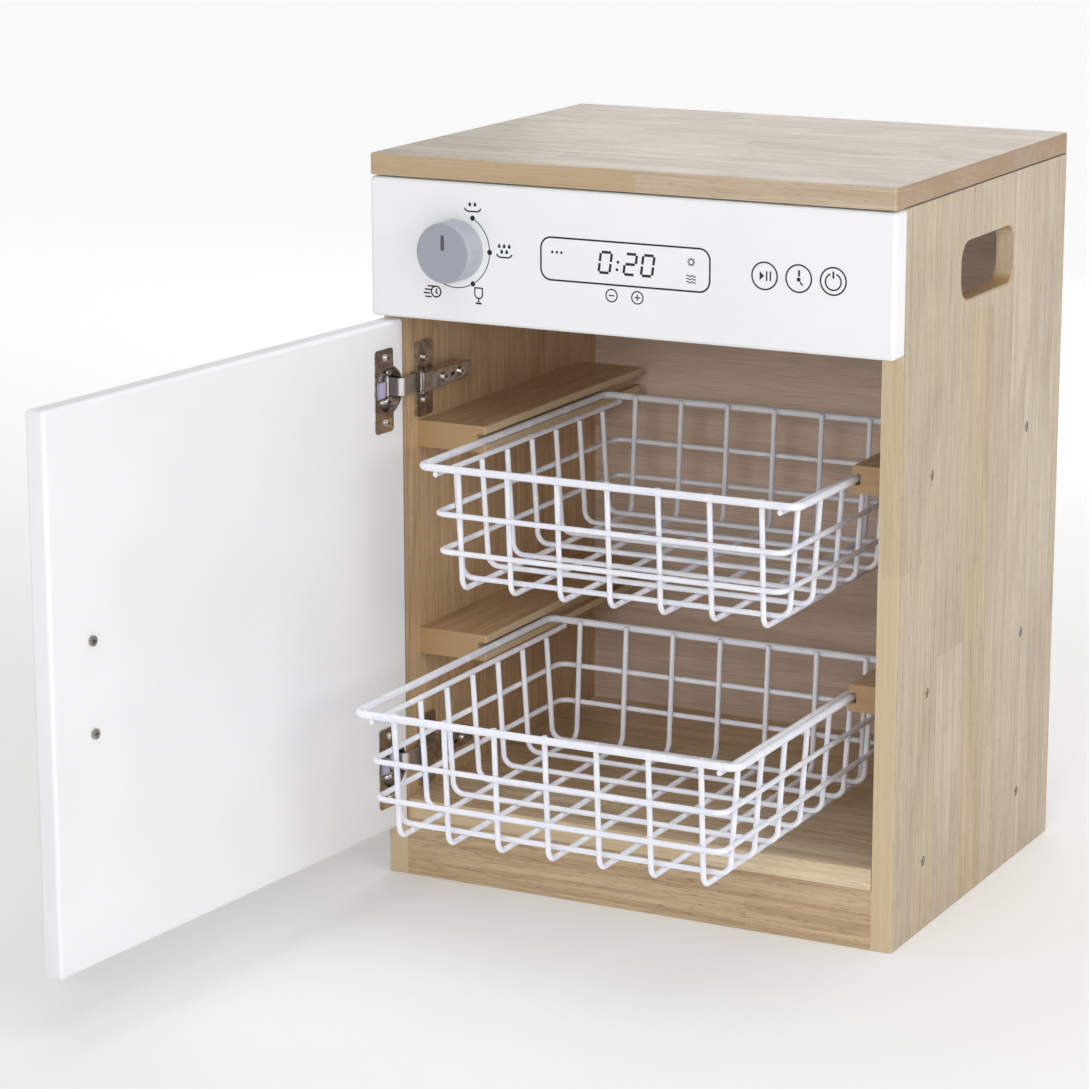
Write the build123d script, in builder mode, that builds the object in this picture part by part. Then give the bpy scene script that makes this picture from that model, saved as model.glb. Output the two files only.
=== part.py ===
from build123d import *
import os

# A wooden play dishwasher that stands on the floor: a box of glued-up board, a white front panel with
# one knob, a white door on two concealed hinges, and two wire baskets that slide in grooved rails.
#
# Millimetres. X runs across the front, Y runs from front to back, Z is up. The origin is the middle of
# the plinth's underside, on the floor. The front faces -Y. The pieces stand as they are in use: the
# door open, the upper basket pulled out a little and the lower basket pulled out further.

# Cabinet
cabinet_width = 410.0
cabinet_depth = 340.0
cabinet_height = 550.0
worktop_thickness = 16.0
side_thickness = 16.0
bottom_thickness = 16.0
bottom_end_gap = 0.5
plinth_height = 44.0
plinth_thickness = 16.0
back_thickness = 6.0
back_rebate = 8.0
wood_round = 1.5
worktop_round = 2.5

# Hand slots, one in each side
slot_length = 108.0
slot_height = 42.0
slot_corner = 15.0
slot_below_top = 76.0
slot_round = 2.0

# White front panel and door
panel_thickness = 18.0
panel_height = 102.0
panel_top_gap = 1.0
lacquer_round = 3.0
door_thickness = 16.0
door_side_gap = 1.0
door_top_gap = 3.0
door_below_board = 2.0
door_open_angle = 95.0

# Hinge axis, from the cabinet's left face and the panel's front face
pivot_inset = 9.0
pivot_depth = 6.5

# Rails
rail_thickness = 20.0
rail_length = 264.0
rail_setback = 22.0
left_rail_width = 56.0
right_rail_width = 30.0
upper_rail_below_hinge = 41.0
lower_rail_above_board = 118.0
groove_height = 8.0
groove_depth = 6.5
rail_screw_inset = 36.0

# Baskets
rim_wire = 5.5
basket_wire = 4.0
rim_engagement = 3.75
basket_length = 298.0
basket_depth = 90.0
basket_taper = 6.0
side_wire_inset = 13.0
mesh_pitch = 39.4
mesh_wires = 7
wire_bend = 9.0
rim_bend = 8.0
upper_hoop_drop = 34.0
lower_hoop_drop = 62.0
basket_home = 28.0
upper_basket_travel = 85.0
lower_basket_travel = 180.0
wire_end_drop = 1.0
weld_gap = 0.02
seat_gap = 0.3

# Concealed hinges
hinge_end_distance = 50.0
cup_diameter = 34.8
cup_wall = 1.0
cup_outer_depth = 12.6
cup_floor = 0.8
cup_edge_distance = 20.5
flange_thickness = 0.8
flange_height = 62.0
flange_from_edge = 15.0
flange_width = 23.0
cup_rim_width = 0.4
cup_rim_flat = 3.9
cup_screw_spacing = 48.0
cup_screw_offset = 2.2
cup_ear_width = 4.4
cup_ear_inner = 7.6
cup_ear_outer = 9.2
pin_diameter = 2.0
pin_length = 21.8
link_width = 13.0
link_thickness = 2.0
link_reach = 13.0
eye_radius = 1.9
arm_length = 71.0
arm_height = 16.0
arm_rear_height = 12.0
arm_sheet = 1.0
arm_projection = 12.5
arm_setback = 9.0
arm_pin_diameter = 3.0
arm_pin_back = 7.0
arm_eye_radius = 2.6
plate_thickness = 2.5
plate_wing_width = 24.0
plate_wing_height = 56.0
plate_corner = 3.0
plate_centre_back = 28.0
plate_screw_spacing = 32.0
spine_length = 54.0
front_arm_screw_back = 40.0
rear_arm_screw_back = 66.0

# Knob
knob_diameter = 44.0
knob_depth = 20.0
knob_round = 2.5
knob_from_left = 70.8
knob_below_top = 66.0
knob_screw_length = 32.0
washer_diameter = 12.0
washer_thickness = 1.2
pointer_width = 3.0
pointer_length = 11.5
pointer_depth = 0.6
pointer_from_centre = 7.6

# Handle on the door's outer face
handle_spacing = 64.0
handle_from_free_edge = 42.0
handle_length = 88.0
handle_bar_width = 12.0
handle_bar_depth = 10.0
handle_projection = 26.0
handle_post_diameter = 10.0
handle_round = 3.0

# Fasteners
fit_gap = 0.05
running_gap = 0.08
side_screw_length = 38.0
side_screw_shank = 4.0
side_screw_head = 7.6
side_screw_head_depth = 2.4
side_screw_sink = 0.5
back_screw_length = 18.0
back_screw_shank = 3.0
back_screw_head = 5.6
back_screw_head_depth = 1.8
back_screw_sink = 0.3
back_screw_rows = 4
small_screw_shank = 3.0
small_screw_head = 6.4
small_screw_head_depth = 1.8
cup_screw_length = 10.0
plate_screw_length = 13.0
arm_screw_shank = 4.0
arm_screw_head = 7.0
handle_screw_shank = 4.0
handle_screw_head = 7.2
handle_screw_head_depth = 2.0
handle_screw_grip = 10.0
worktop_dowel_diameter = 8.0
worktop_dowel_length = 26.0
worktop_dowel_up = 10.0
panel_dowel_diameter = 6.0
panel_dowel_length = 24.0
panel_dowel_forward = 10.0
plinth_dowel_diameter = 8.0
plinth_dowel_length = 24.0
plinth_dowel_up = 12.0
plinth_dowel_spacing = 240.0
dowel_end_gap = 0.5
dowel_inset = 40.0

# Places that follow from the sizes above
left_face = -cabinet_width / 2
right_face = cabinet_width / 2
inner_half = cabinet_width / 2 - side_thickness
carcass_front = -plinth_thickness / 2
panel_front = carcass_front - panel_thickness
cabinet_back = panel_front + cabinet_depth
tub_back = cabinet_back - back_thickness
worktop_underside = cabinet_height - worktop_thickness
board_top = plinth_height + bottom_thickness
panel_top = worktop_underside - panel_top_gap
panel_bottom = panel_top - panel_height
door_top = panel_bottom - door_top_gap
door_bottom = plinth_height - door_below_board
door_height = door_top - door_bottom
door_middle = (door_top + door_bottom) / 2
door_width = cabinet_width - 2 * door_side_gap
slot_height_up = cabinet_height - slot_below_top
pivot_x = left_face + pivot_inset
pivot_y = panel_front + pivot_depth
hinge_heights = {
    "upper": door_top - hinge_end_distance,
    "lower": door_bottom + hinge_end_distance,
}
rail_front = carcass_front + rail_setback
rail_middle = rail_front + rail_length / 2
rail_heights = {
    "upper": hinge_heights["upper"] - upper_rail_below_hinge,
    "lower": board_top + lower_rail_above_board,
}
left_rail_face = -inner_half + left_rail_width
right_rail_face = inner_half - right_rail_width
basket_middle = (left_rail_face + right_rail_face) / 2
rim_half_width = (right_rail_face - left_rail_face) / 2 + rim_engagement - rim_wire / 2
basket_travels = {"upper": upper_basket_travel, "lower": lower_basket_travel}
hoop_drops = {"upper": upper_hoop_drop, "lower": lower_hoop_drop}
arm_screw_backs = (front_arm_screw_back, rear_arm_screw_back)
long_wire_half = basket_length / 2 - rim_wire / 2 - basket_wire / 2 - weld_gap
long_wire_top = rim_wire / 2 - wire_end_drop
cross_wire_top = -rim_wire / 2 - basket_wire - 2 * weld_gap
knob_x = left_face + knob_from_left
knob_height = cabinet_height - knob_below_top

# The door's own frame: its origin is on the hinge axis at floor height, local X runs along the door
# towards its free edge, and local Y points out of its inner face. It is turned with the open door.
door_frame = Plane(origin=(pivot_x, pivot_y, 0), z_dir=(0, 0, 1)).rotated((0, 0, -door_open_angle))
door_edge = left_face + door_side_gap - pivot_x
door_inner = door_thickness - pivot_depth
door_outer = -pivot_depth
cup_x = door_edge + cup_edge_distance
handle_x = door_edge + door_width - handle_from_free_edge


def keep(piece, name):
    """Labels a finished piece and writes its file."""
    piece.part.label = name
    export_step(piece.part, f"parts/{name}.step")


def box_between(low, high, mode=Mode.ADD):
    """A box given by its lowest and highest corners, in the frame of the part being built."""
    size = [b - a for a, b in zip(low, high)]
    with Locations([(low[0] + size[0] / 2, low[1] + size[1] / 2, low[2] + size[2] / 2)]):
        Box(*size, mode=mode)


def rod(centre, direction, diameter, length, mode=Mode.ADD):
    """A round rod that starts at a point and runs along X, Y or Z, with a sign for its sense."""
    turns = {"x": (0, 90, 0), "y": (-90, 0, 0), "z": (0, 0, 0)}
    step = {"x": (1, 0, 0), "y": (0, 1, 0), "z": (0, 0, 1)}[direction[-1]]
    sign = -1 if direction[0] == "-" else 1
    middle = [c + sign * length / 2 * s for c, s in zip(centre, step)]
    with Locations([tuple(middle)]):
        Cylinder(diameter / 2, length, rotation=turns[direction[-1]], mode=mode)


def countersunk(centre, direction, head, head_depth, shank, length, gap=0.0, mode=Mode.ADD):
    """A countersunk screw, or its hole when a gap and the subtracting mode are given."""
    turns = {"-x": (0, 90, 0), "x": (0, -90, 0), "-y": (-90, 0, 0), "y": (90, 0, 0)}
    step = {"x": (1, 0, 0), "y": (0, 1, 0)}[direction[-1]]
    sign = -1 if direction[0] == "-" else 1
    middle = [c + sign * head_depth / 2 * s for c, s in zip(centre, step)]
    with Locations([tuple(middle)]):
        Cone(shank / 2 + gap, head / 2 + gap, head_depth, rotation=turns[direction], mode=mode)
    rod(centre, direction, shank + 2 * gap, length + gap, mode=mode)


# Fastener places
side_screw_places = [
    (y, z)
    for z in rail_heights.values()
    for y in (rail_front + rail_screw_inset, rail_front + rail_length - rail_screw_inset)
]
board_screw_height = plinth_height + bottom_thickness / 2
side_screw_places += [
    (rail_front + rail_screw_inset, board_screw_height),
    (rail_front + rail_length - rail_screw_inset, board_screw_height),
]
side_screw_top = cabinet_width / 2 - side_screw_sink
back_screw_top = cabinet_back - back_screw_sink
side_edge_x = cabinet_width / 2 - side_thickness / 2
worktop_dowel_places = [
    (sign * side_edge_x, y)
    for sign in (-1, 1)
    for y in (carcass_front + dowel_inset, cabinet_back - dowel_inset)
]
panel_dowel_places = [
    (sign * side_edge_x, z)
    for sign in (-1, 1)
    for z in (panel_bottom + panel_height / 5, panel_top - panel_height / 5)
]
plinth_dowel_places = [-plinth_dowel_spacing / 2, plinth_dowel_spacing / 2]
back_screw_x = inner_half + back_rebate / 2
back_screw_first = board_top + dowel_inset
back_screw_step = (worktop_underside - dowel_inset - back_screw_first) / (back_screw_rows - 1)
back_screw_places = [
    (sign * back_screw_x, back_screw_first + row * back_screw_step)
    for sign in (-1, 1)
    for row in range(back_screw_rows)
]
back_screw_places += [(sign * cabinet_width / 4, board_screw_height) for sign in (-1, 1)]


def cut_side_screws(sign):
    """Holes for the screws that run from one side's outer face into the rails and the bottom board."""
    inward = "x" if sign < 0 else "-x"
    for y, z in side_screw_places:
        rod((sign * cabinet_width / 2, y, z), inward, side_screw_head + 2 * fit_gap,
            side_screw_sink, Mode.SUBTRACT)
        countersunk(
            (sign * side_screw_top, y, z), inward, side_screw_head, side_screw_head_depth,
            side_screw_shank, side_screw_length, fit_gap, Mode.SUBTRACT,
        )


def cut_back_screws():
    """Holes for the screws that hold the back panel."""
    for x, z in back_screw_places:
        rod((x, cabinet_back, z), "-y", back_screw_head + 2 * fit_gap, back_screw_sink,
            Mode.SUBTRACT)
        countersunk(
            (x, back_screw_top, z), "-y", back_screw_head, back_screw_head_depth,
            back_screw_shank, back_screw_length, fit_gap, Mode.SUBTRACT,
        )


def cut_dowels(places, diameter, length, direction):
    """Blind round holes for dowels, a little deeper than the dowels at both ends."""
    step = (0, dowel_end_gap, 0) if direction == "y" else (0, 0, dowel_end_gap)
    for place in places:
        start = [p - s for p, s in zip(place, step)]
        rod(start, direction, diameter + 2 * fit_gap, length + 2 * dowel_end_gap, Mode.SUBTRACT)


worktop_dowels_at = [
    (x, y, worktop_underside + worktop_dowel_up - worktop_dowel_length) for x, y in worktop_dowel_places
]
panel_dowels_at = [(x, carcass_front - panel_dowel_forward, z) for x, z in panel_dowel_places]
plinth_dowels_at = [
    (x, 0, plinth_height + plinth_dowel_up - plinth_dowel_length) for x in plinth_dowel_places
]


def make_worktop():
    """The top board, flush with the front panel and with both sides."""
    with BuildPart() as worktop:
        box_between(
            (left_face, panel_front, worktop_underside), (right_face, cabinet_back, cabinet_height)
        )
        fillet(worktop.edges().filter_by(Axis.Z), radius=worktop_round)
        fillet(worktop.faces().sort_by(Axis.Z)[-1].edges(), radius=wood_round)
        fillet(worktop.faces().sort_by(Axis.Z)[0].edges(), radius=wood_round)
        cut_dowels(worktop_dowels_at, worktop_dowel_diameter, worktop_dowel_length, "z")
    keep(worktop, "worktop")


def make_side(sign, name):
    """One side board, with its hand slot, its rebate for the back panel and its holes."""
    outer = sign * cabinet_width / 2
    inner = sign * inner_half
    middle = (carcass_front + cabinet_back) / 2
    with BuildPart() as side:
        with BuildSketch(Plane.YZ.offset(min(outer, inner))):
            with Locations((middle, worktop_underside / 2)):
                Rectangle(cabinet_back - carcass_front, worktop_underside)
            with Locations((middle, slot_height_up)):
                RectangleRounded(slot_length, slot_height, slot_corner, mode=Mode.SUBTRACT)
        extrude(amount=side_thickness)
        slot_edges = (
            side.edges()
            .filter_by_position(Axis.Y, middle - slot_length / 2, middle + slot_length / 2)
            .filter_by_position(
                Axis.Z, slot_height_up - slot_height / 2, slot_height_up + slot_height / 2
            )
        )
        faces_x = side.faces().filter_by(Axis.X)
        rims = [edge for edge in slot_edges if any(edge in face.edges() for face in faces_x)]
        fillet(rims, radius=slot_round)
        outer_face = side.faces().filter_by(Axis.X).sort_by(Axis.X)[0 if sign < 0 else -1]
        long_edges = outer_face.edges().filter_by(Axis.Z).group_by(Axis.Y)
        fillet(long_edges[0] + long_edges[-1], radius=wood_round)
        rebate_edge = sign * (inner_half + back_rebate)
        box_between(
            (min(inner, rebate_edge), tub_back, plinth_height),
            (max(inner, rebate_edge), cabinet_back, worktop_underside),
            mode=Mode.SUBTRACT,
        )
        cut_side_screws(sign)
        cut_back_screws()
        cut_dowels(worktop_dowels_at, worktop_dowel_diameter, worktop_dowel_length, "z")
        cut_dowels(panel_dowels_at, panel_dowel_diameter, panel_dowel_length, "y")
        if sign < 0:
            for height in hinge_heights.values():
                for z in (height - plate_screw_spacing / 2, height + plate_screw_spacing / 2):
                    rod(
                        (-inner_half, carcass_front + plate_centre_back, z), "-x",
                        small_screw_shank + 2 * fit_gap,
                        plate_screw_length - plate_thickness + fit_gap, Mode.SUBTRACT,
                    )
    keep(side, name)


def make_bottom_board():
    """The floor of the tub. It rests on the plinth and is screwed between the sides."""
    with BuildPart() as board:
        half = inner_half - bottom_end_gap
        box_between((-half, carcass_front, plinth_height), (half, tub_back, board_top))
        fillet(board.edges().filter_by(Axis.X).group_by(Axis.Y)[0], radius=wood_round / 2)
        cut_side_screws(-1)
        cut_side_screws(1)
        cut_back_screws()
        cut_dowels(plinth_dowels_at, plinth_dowel_diameter, plinth_dowel_length, "z")
    keep(board, "bottom_board")


def make_plinth():
    """The board under the door, flush with the side boards' front edges."""
    with BuildPart() as plinth:
        box_between((-inner_half, carcass_front, 0), (inner_half, -carcass_front, plinth_height))
        cut_dowels(plinth_dowels_at, plinth_dowel_diameter, plinth_dowel_length, "z")
    keep(plinth, "plinth")


def make_back_panel():
    """The thin back, let into the side boards' rebates."""
    half = inner_half + back_rebate - fit_gap
    with BuildPart() as back:
        box_between((-half, tub_back, plinth_height), (half, cabinet_back, worktop_underside))
        cut_back_screws()
    keep(back, "back_panel")


def make_control_panel():
    """The white front panel above the door."""
    with BuildPart() as panel:
        box_between((left_face, panel_front, panel_bottom), (right_face, carcass_front, panel_top))
        fillet(panel.edges().filter_by(Axis.Y), radius=lacquer_round)
        fillet(panel.faces().sort_by(Axis.Y)[0].edges(), radius=lacquer_round)
        rod((knob_x, panel_front, knob_height), "y", arm_screw_shank + 2 * running_gap,
            panel_thickness, Mode.SUBTRACT)
        cut_dowels(panel_dowels_at, panel_dowel_diameter, panel_dowel_length, "y")
    keep(panel, "control_panel")


def make_rail(sign, level):
    """One grooved runner, screwed to a side board. The left runners are wider, to clear the hinges."""
    face = left_rail_face if sign < 0 else right_rail_face
    wall = sign * inner_half
    height = rail_heights[level]
    with BuildPart() as rail:
        box_between(
            (min(face, wall), rail_front, height - rail_thickness / 2),
            (max(face, wall), rail_front + rail_length, height + rail_thickness / 2),
        )
        inner_face = rail.faces().filter_by(Axis.X).sort_by(Axis.X)[-1 if sign < 0 else 0]
        fillet(inner_face.edges(), radius=wood_round)
        groove_end = face + sign * groove_depth
        box_between(
            (min(face, groove_end), rail_front, height - groove_height / 2),
            (max(face, groove_end), rail_front + rail_length, height + groove_height / 2),
            mode=Mode.SUBTRACT,
        )
        cut_side_screws(sign)
    keep(rail, f"{level}_{'left' if sign < 0 else 'right'}_rail")


def make_side_screws():
    """The screws through both sides, one node of alike screws."""
    with BuildPart() as screws:
        for sign, inward in ((-1, "x"), (1, "-x")):
            for y, z in side_screw_places:
                countersunk(
                    (sign * side_screw_top, y, z), inward, side_screw_head,
                    side_screw_head_depth, side_screw_shank, side_screw_length,
                )
    keep(screws, "side_screws")


def make_back_screws():
    """The small screws round the back panel."""
    with BuildPart() as screws:
        for x, z in back_screw_places:
            countersunk(
                (x, back_screw_top, z), "-y", back_screw_head, back_screw_head_depth,
                back_screw_shank, back_screw_length,
            )
    keep(screws, "back_panel_screws")


def make_dowels(places, diameter, length, direction, name):
    """Glued beech dowels, one node of alike dowels."""
    with BuildPart() as dowels:
        for place in places:
            rod(place, direction, diameter, length)
    keep(dowels, name)


def make_door():
    """The white door, bored for the hinge cups and for the screws."""
    with BuildPart(door_frame) as door:
        box_between(
            (door_edge, door_outer, door_bottom), (door_edge + door_width, door_inner, door_top)
        )
        fillet(door.edges(), radius=lacquer_round)
        for height in hinge_heights.values():
            rod((cup_x, door_inner, height), "-y", cup_diameter + 2 * fit_gap,
                cup_outer_depth + 2 * fit_gap, Mode.SUBTRACT)
            for z in (height - cup_screw_spacing / 2, height + cup_screw_spacing / 2):
                rod((cup_x + cup_screw_offset, door_inner, z), "-y",
                    small_screw_shank + 2 * fit_gap,
                    cup_screw_length - flange_thickness + fit_gap, Mode.SUBTRACT)
        for z in (door_middle - handle_spacing / 2, door_middle + handle_spacing / 2):
            rod((handle_x, door_inner, z), "-y", handle_screw_shank + 2 * fit_gap,
                door_thickness, Mode.SUBTRACT)
    keep(door, "door")


def make_hinge_cup(level):
    """The pressed cup in the door, with its flange and the two ears that hold its pin."""
    height = hinge_heights[level]
    radius = cup_diameter / 2
    flange_left = door_edge + flange_from_edge
    with BuildPart(door_frame) as cup:
        box_between(
            (flange_left, door_inner, height - flange_height / 2),
            (flange_left + flange_width, door_inner + flange_thickness, height + flange_height / 2),
        )
        fillet(cup.edges().filter_by(Axis((0, 0, 0), door_frame.y_dir)), radius=plate_corner)
        rod((cup_x, door_inner, height), "-y", cup_diameter, cup_outer_depth)
        rod((cup_x, door_inner, height), "y", cup_diameter + 2 * cup_rim_width, flange_thickness)
        box_between(
            (cup_x - cup_diameter, door_inner, height - flange_height / 2),
            (-cup_rim_flat, door_inner + flange_thickness, height + flange_height / 2),
            mode=Mode.SUBTRACT,
        )
        rod((cup_x, door_inner + flange_thickness, height), "-y", 2 * (radius - cup_wall),
            cup_outer_depth + flange_thickness - cup_floor, Mode.SUBTRACT)
        for low, high in ((cup_ear_inner, cup_ear_outer), (-cup_ear_outer, -cup_ear_inner)):
            box_between((-cup_ear_width / 2, -cup_ear_width / 2, height + low),
                        (cup_ear_width / 2, cup_ear_width / 2, height + high))
        rod((0, 0, height - pin_length / 2), "z", pin_diameter + 2 * fit_gap, pin_length,
            Mode.SUBTRACT)
        for z in (height - cup_screw_spacing / 2, height + cup_screw_spacing / 2):
            rod((cup_x + cup_screw_offset, door_inner, z), "y", small_screw_shank + 2 * fit_gap,
                flange_thickness, Mode.SUBTRACT)
    keep(cup, f"{level}_hinge_cup")


def make_hinge_pins():
    """The pins that the cups swing on, one in each hinge."""
    with BuildPart() as pins:
        for height in hinge_heights.values():
            rod((pivot_x, pivot_y, height - pin_length / 2), "z", pin_diameter, pin_length)
    keep(pins, "hinge_pins")


arm_front = carcass_front + arm_setback
arm_inner_x = -inner_half + arm_projection
link_x = pivot_x + link_reach
arm_pin_y = arm_front + arm_pin_back


def make_hinge_link(level):
    """The swan-necked link that reaches round the door's edge, from the arm's pin to the cup's pin."""
    height = hinge_heights[level]
    with BuildPart() as link:
        with BuildSketch(Plane.XY.offset(height - link_width / 2)):
            with BuildLine():
                FilletPolyline(
                    (pivot_x, pivot_y), (link_x, pivot_y), (link_x, arm_pin_y),
                    radius=2 * link_thickness,
                )
            trace(line_width=link_thickness)
            with Locations((pivot_x, pivot_y)):
                Circle(eye_radius)
                Circle(pin_diameter / 2 + fit_gap, mode=Mode.SUBTRACT)
            with Locations((link_x, arm_pin_y)):
                Circle(arm_eye_radius)
                Circle(arm_pin_diameter / 2 + fit_gap, mode=Mode.SUBTRACT)
        extrude(amount=link_width)
    keep(link, f"{level}_hinge_link")


def arm_half(y, inset):
    """Half the arm's height at a place along it, less an inset. The arm tapers to the back."""
    return (arm_height - (arm_height - arm_rear_height) * (y - arm_front) / arm_length) / 2 - inset


def tapered_block(height, ends_y, ends_x, inset, mode=Mode.ADD):
    """A block with the arm's taper, between two places along it and two distances from the wall."""
    front, back = ends_y
    with BuildSketch(Plane.YZ.offset(ends_x[0])) as outline:
        with BuildLine():
            Polyline(
                (front, height - arm_half(front, inset)), (back, height - arm_half(back, inset)),
                (back, height + arm_half(back, inset)), (front, height + arm_half(front, inset)),
                close=True,
            )
        make_face()
    extrude(outline.sketch, amount=ends_x[1] - ends_x[0], mode=mode)


def make_hinge_arm(level):
    """The pressed channel over the mounting plate. The link is pinned into its front end."""
    height = hinge_heights[level]
    channel_wall = -inner_half + plate_thickness + fit_gap
    ends = (arm_front, arm_front + arm_length)
    with BuildPart() as arm:
        tapered_block(height, ends, (channel_wall, arm_inner_x), 0)
        fillet(arm.faces().sort_by(Axis.X)[-1].edges().sort_by(SortBy.LENGTH)[-2:], radius=arm_sheet)
        tapered_block(height, ends, (channel_wall, arm_inner_x - arm_sheet), arm_sheet, Mode.SUBTRACT)
        rod((link_x, arm_pin_y, height - arm_height / 2), "z", arm_pin_diameter + 2 * fit_gap,
            arm_height, Mode.SUBTRACT)
        for back in arm_screw_backs:
            rod((arm_inner_x, carcass_front + back, height), "-x", arm_screw_shank + 2 * fit_gap,
                arm_sheet, Mode.SUBTRACT)
    keep(arm, f"{level}_hinge_arm")


def make_arm_pins():
    """The pins that hold the links in the arms."""
    with BuildPart() as pins:
        for height in hinge_heights.values():
            rod((link_x, arm_pin_y, height - arm_height / 2), "z", arm_pin_diameter, arm_height)
    keep(pins, "hinge_arm_pins")


spine_front = arm_pin_y + arm_eye_radius + arm_sheet
spine_top = arm_inner_x - arm_sheet - fit_gap


def make_hinge_plate(level):
    """The cross-shaped mounting plate on the left side board, with the spine that the arm covers."""
    height = hinge_heights[level]
    wing_middle = carcass_front + plate_centre_back
    spine_back = spine_front + spine_length
    with BuildPart() as plate:
        with BuildSketch(Plane.YZ.offset(-inner_half)):
            with Locations((wing_middle, height)):
                RectangleRounded(plate_wing_width, plate_wing_height, plate_corner)
            with Locations((spine_front + spine_length / 2, height)):
                Rectangle(spine_length, arm_rear_height)
        extrude(amount=plate_thickness)
        tapered_block(height, (spine_front, spine_back), (-inner_half, spine_top),
                      arm_sheet + fit_gap)
        for z in (height - plate_screw_spacing / 2, height + plate_screw_spacing / 2):
            rod((-inner_half, wing_middle, z), "x", small_screw_shank + 2 * fit_gap,
                plate_thickness, Mode.SUBTRACT)
        for back in arm_screw_backs:
            rod((spine_top, carcass_front + back, height), "-x", arm_screw_shank + 2 * fit_gap,
                spine_top + inner_half - plate_thickness / 2, Mode.SUBTRACT)
    keep(plate, f"{level}_hinge_plate")


def pan_screw(seat, direction, head, head_depth, shank, length):
    """A flat-headed round screw. The seat is the point under its head, and it runs along direction."""
    outward = direction[-1] if direction[0] == "-" else "-" + direction
    rod(seat, outward, head, head_depth)
    rod(seat, direction, shank, length)


def make_plate_screws():
    """The wood screws that hold both mounting plates to the left side board."""
    with BuildPart() as screws:
        for height in hinge_heights.values():
            for z in (height - plate_screw_spacing / 2, height + plate_screw_spacing / 2):
                pan_screw((-inner_half + plate_thickness, carcass_front + plate_centre_back, z), "-x",
                          small_screw_head, small_screw_head_depth, small_screw_shank,
                          plate_screw_length)
    keep(screws, "hinge_plate_screws")


def make_arm_screws():
    """The machine screws that clamp the arms to their plates and set the gap."""
    with BuildPart() as screws:
        for height in hinge_heights.values():
            for back in arm_screw_backs:
                pan_screw((arm_inner_x, carcass_front + back, height), "-x", arm_screw_head,
                          small_screw_head_depth, arm_screw_shank,
                          arm_inner_x + inner_half - plate_thickness / 2 - fit_gap)
    keep(screws, "hinge_arm_screws")


def make_cup_screws():
    """The wood screws that hold the cups in the door."""
    with BuildPart(door_frame) as screws:
        for height in hinge_heights.values():
            for z in (height - cup_screw_spacing / 2, height + cup_screw_spacing / 2):
                pan_screw((cup_x + cup_screw_offset, door_inner + flange_thickness, z), "-y",
                          small_screw_head, small_screw_head_depth, small_screw_shank,
                          cup_screw_length)
    keep(screws, "hinge_cup_screws")


def make_handle():
    """The bar handle on the door's outer face."""
    bar_back = door_outer - handle_projection + handle_bar_depth
    with BuildPart(door_frame) as handle:
        box_between(
            (handle_x - handle_bar_width / 2, bar_back - handle_bar_depth,
             door_middle - handle_length / 2),
            (handle_x + handle_bar_width / 2, bar_back, door_middle + handle_length / 2),
        )
        fillet(handle.edges(), radius=handle_round)
        for z in (door_middle - handle_spacing / 2, door_middle + handle_spacing / 2):
            rod((handle_x, door_outer, z), "-y", handle_post_diameter,
                handle_projection - handle_bar_depth / 2)
            rod((handle_x, door_outer, z), "-y", handle_screw_shank + 2 * fit_gap,
                handle_screw_grip + fit_gap, Mode.SUBTRACT)
    keep(handle, "door_handle")


def make_handle_screws():
    """The two screws whose heads show on the door's inner face."""
    with BuildPart(door_frame) as screws:
        for z in (door_middle - handle_spacing / 2, door_middle + handle_spacing / 2):
            pan_screw((handle_x, door_inner, z), "-y", handle_screw_head, handle_screw_head_depth,
                      handle_screw_shank, door_thickness + handle_screw_grip)
    keep(screws, "handle_screws")


knob_back = panel_front - seat_gap


def pointer_strip(mode=Mode.ADD):
    """The pointer's round-ended strip, level with the knob's face."""
    with BuildSketch(Plane.XZ.offset(knob_depth - knob_back)) as strip:
        with Locations((knob_x, knob_height + pointer_from_centre)):
            SlotOverall(pointer_length, pointer_width, rotation=90)
    extrude(strip.sketch, amount=-pointer_depth, mode=mode)


def make_knob():
    """The round knob, bored from behind for its screw and grooved for its pointer."""
    with BuildPart() as knob:
        rod((knob_x, knob_back, knob_height), "-y", knob_diameter, knob_depth)
        fillet(knob.faces().sort_by(Axis.Y)[0].edges(), radius=knob_round)
        rod((knob_x, knob_back, knob_height), "-y", arm_screw_shank + 2 * fit_gap,
            knob_screw_length - panel_thickness - washer_thickness + fit_gap, Mode.SUBTRACT)
        pointer_strip(Mode.SUBTRACT)
    keep(knob, "program_knob")


def make_knob_pointer():
    """The dark strip laid in the knob's groove."""
    with BuildPart() as pointer:
        pointer_strip()
    keep(pointer, "knob_pointer")


def make_knob_screw():
    """The screw from behind the panel that the knob turns on."""
    with BuildPart() as screw:
        pan_screw((knob_x, carcass_front + seat_gap + washer_thickness, knob_height), "-y",
                  handle_screw_head, handle_screw_head_depth, arm_screw_shank, knob_screw_length)
    keep(screw, "knob_screw")


def make_knob_washer():
    """The washer between the panel's back and the screw's head."""
    with BuildPart() as washer:
        rod((knob_x, carcass_front + seat_gap, knob_height), "y", washer_diameter, washer_thickness)
        rod((knob_x, carcass_front + seat_gap, knob_height), "y", arm_screw_shank + 2 * fit_gap,
            washer_thickness, Mode.SUBTRACT)
    keep(washer, "knob_washer")


def basket_front(level):
    """The front rim's centre line, with the basket pulled out as it stands at rest."""
    return panel_front + basket_home - basket_travels[level]


def rim_height(level):
    """The rim's centre, resting on the lower lip of the grooves."""
    return rail_heights[level] - groove_height / 2 + rim_wire / 2 + seat_gap


def wall(half, top, height):
    """Half the basket's size at a height, for a wall that leans inwards from its top."""
    return half - basket_taper / basket_depth * (top - height)


def mesh_offsets():
    """Where the mesh wires stand, counted from the basket's middle."""
    return [(i - (mesh_wires - 1) / 2) * mesh_pitch for i in range(mesh_wires)]


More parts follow.
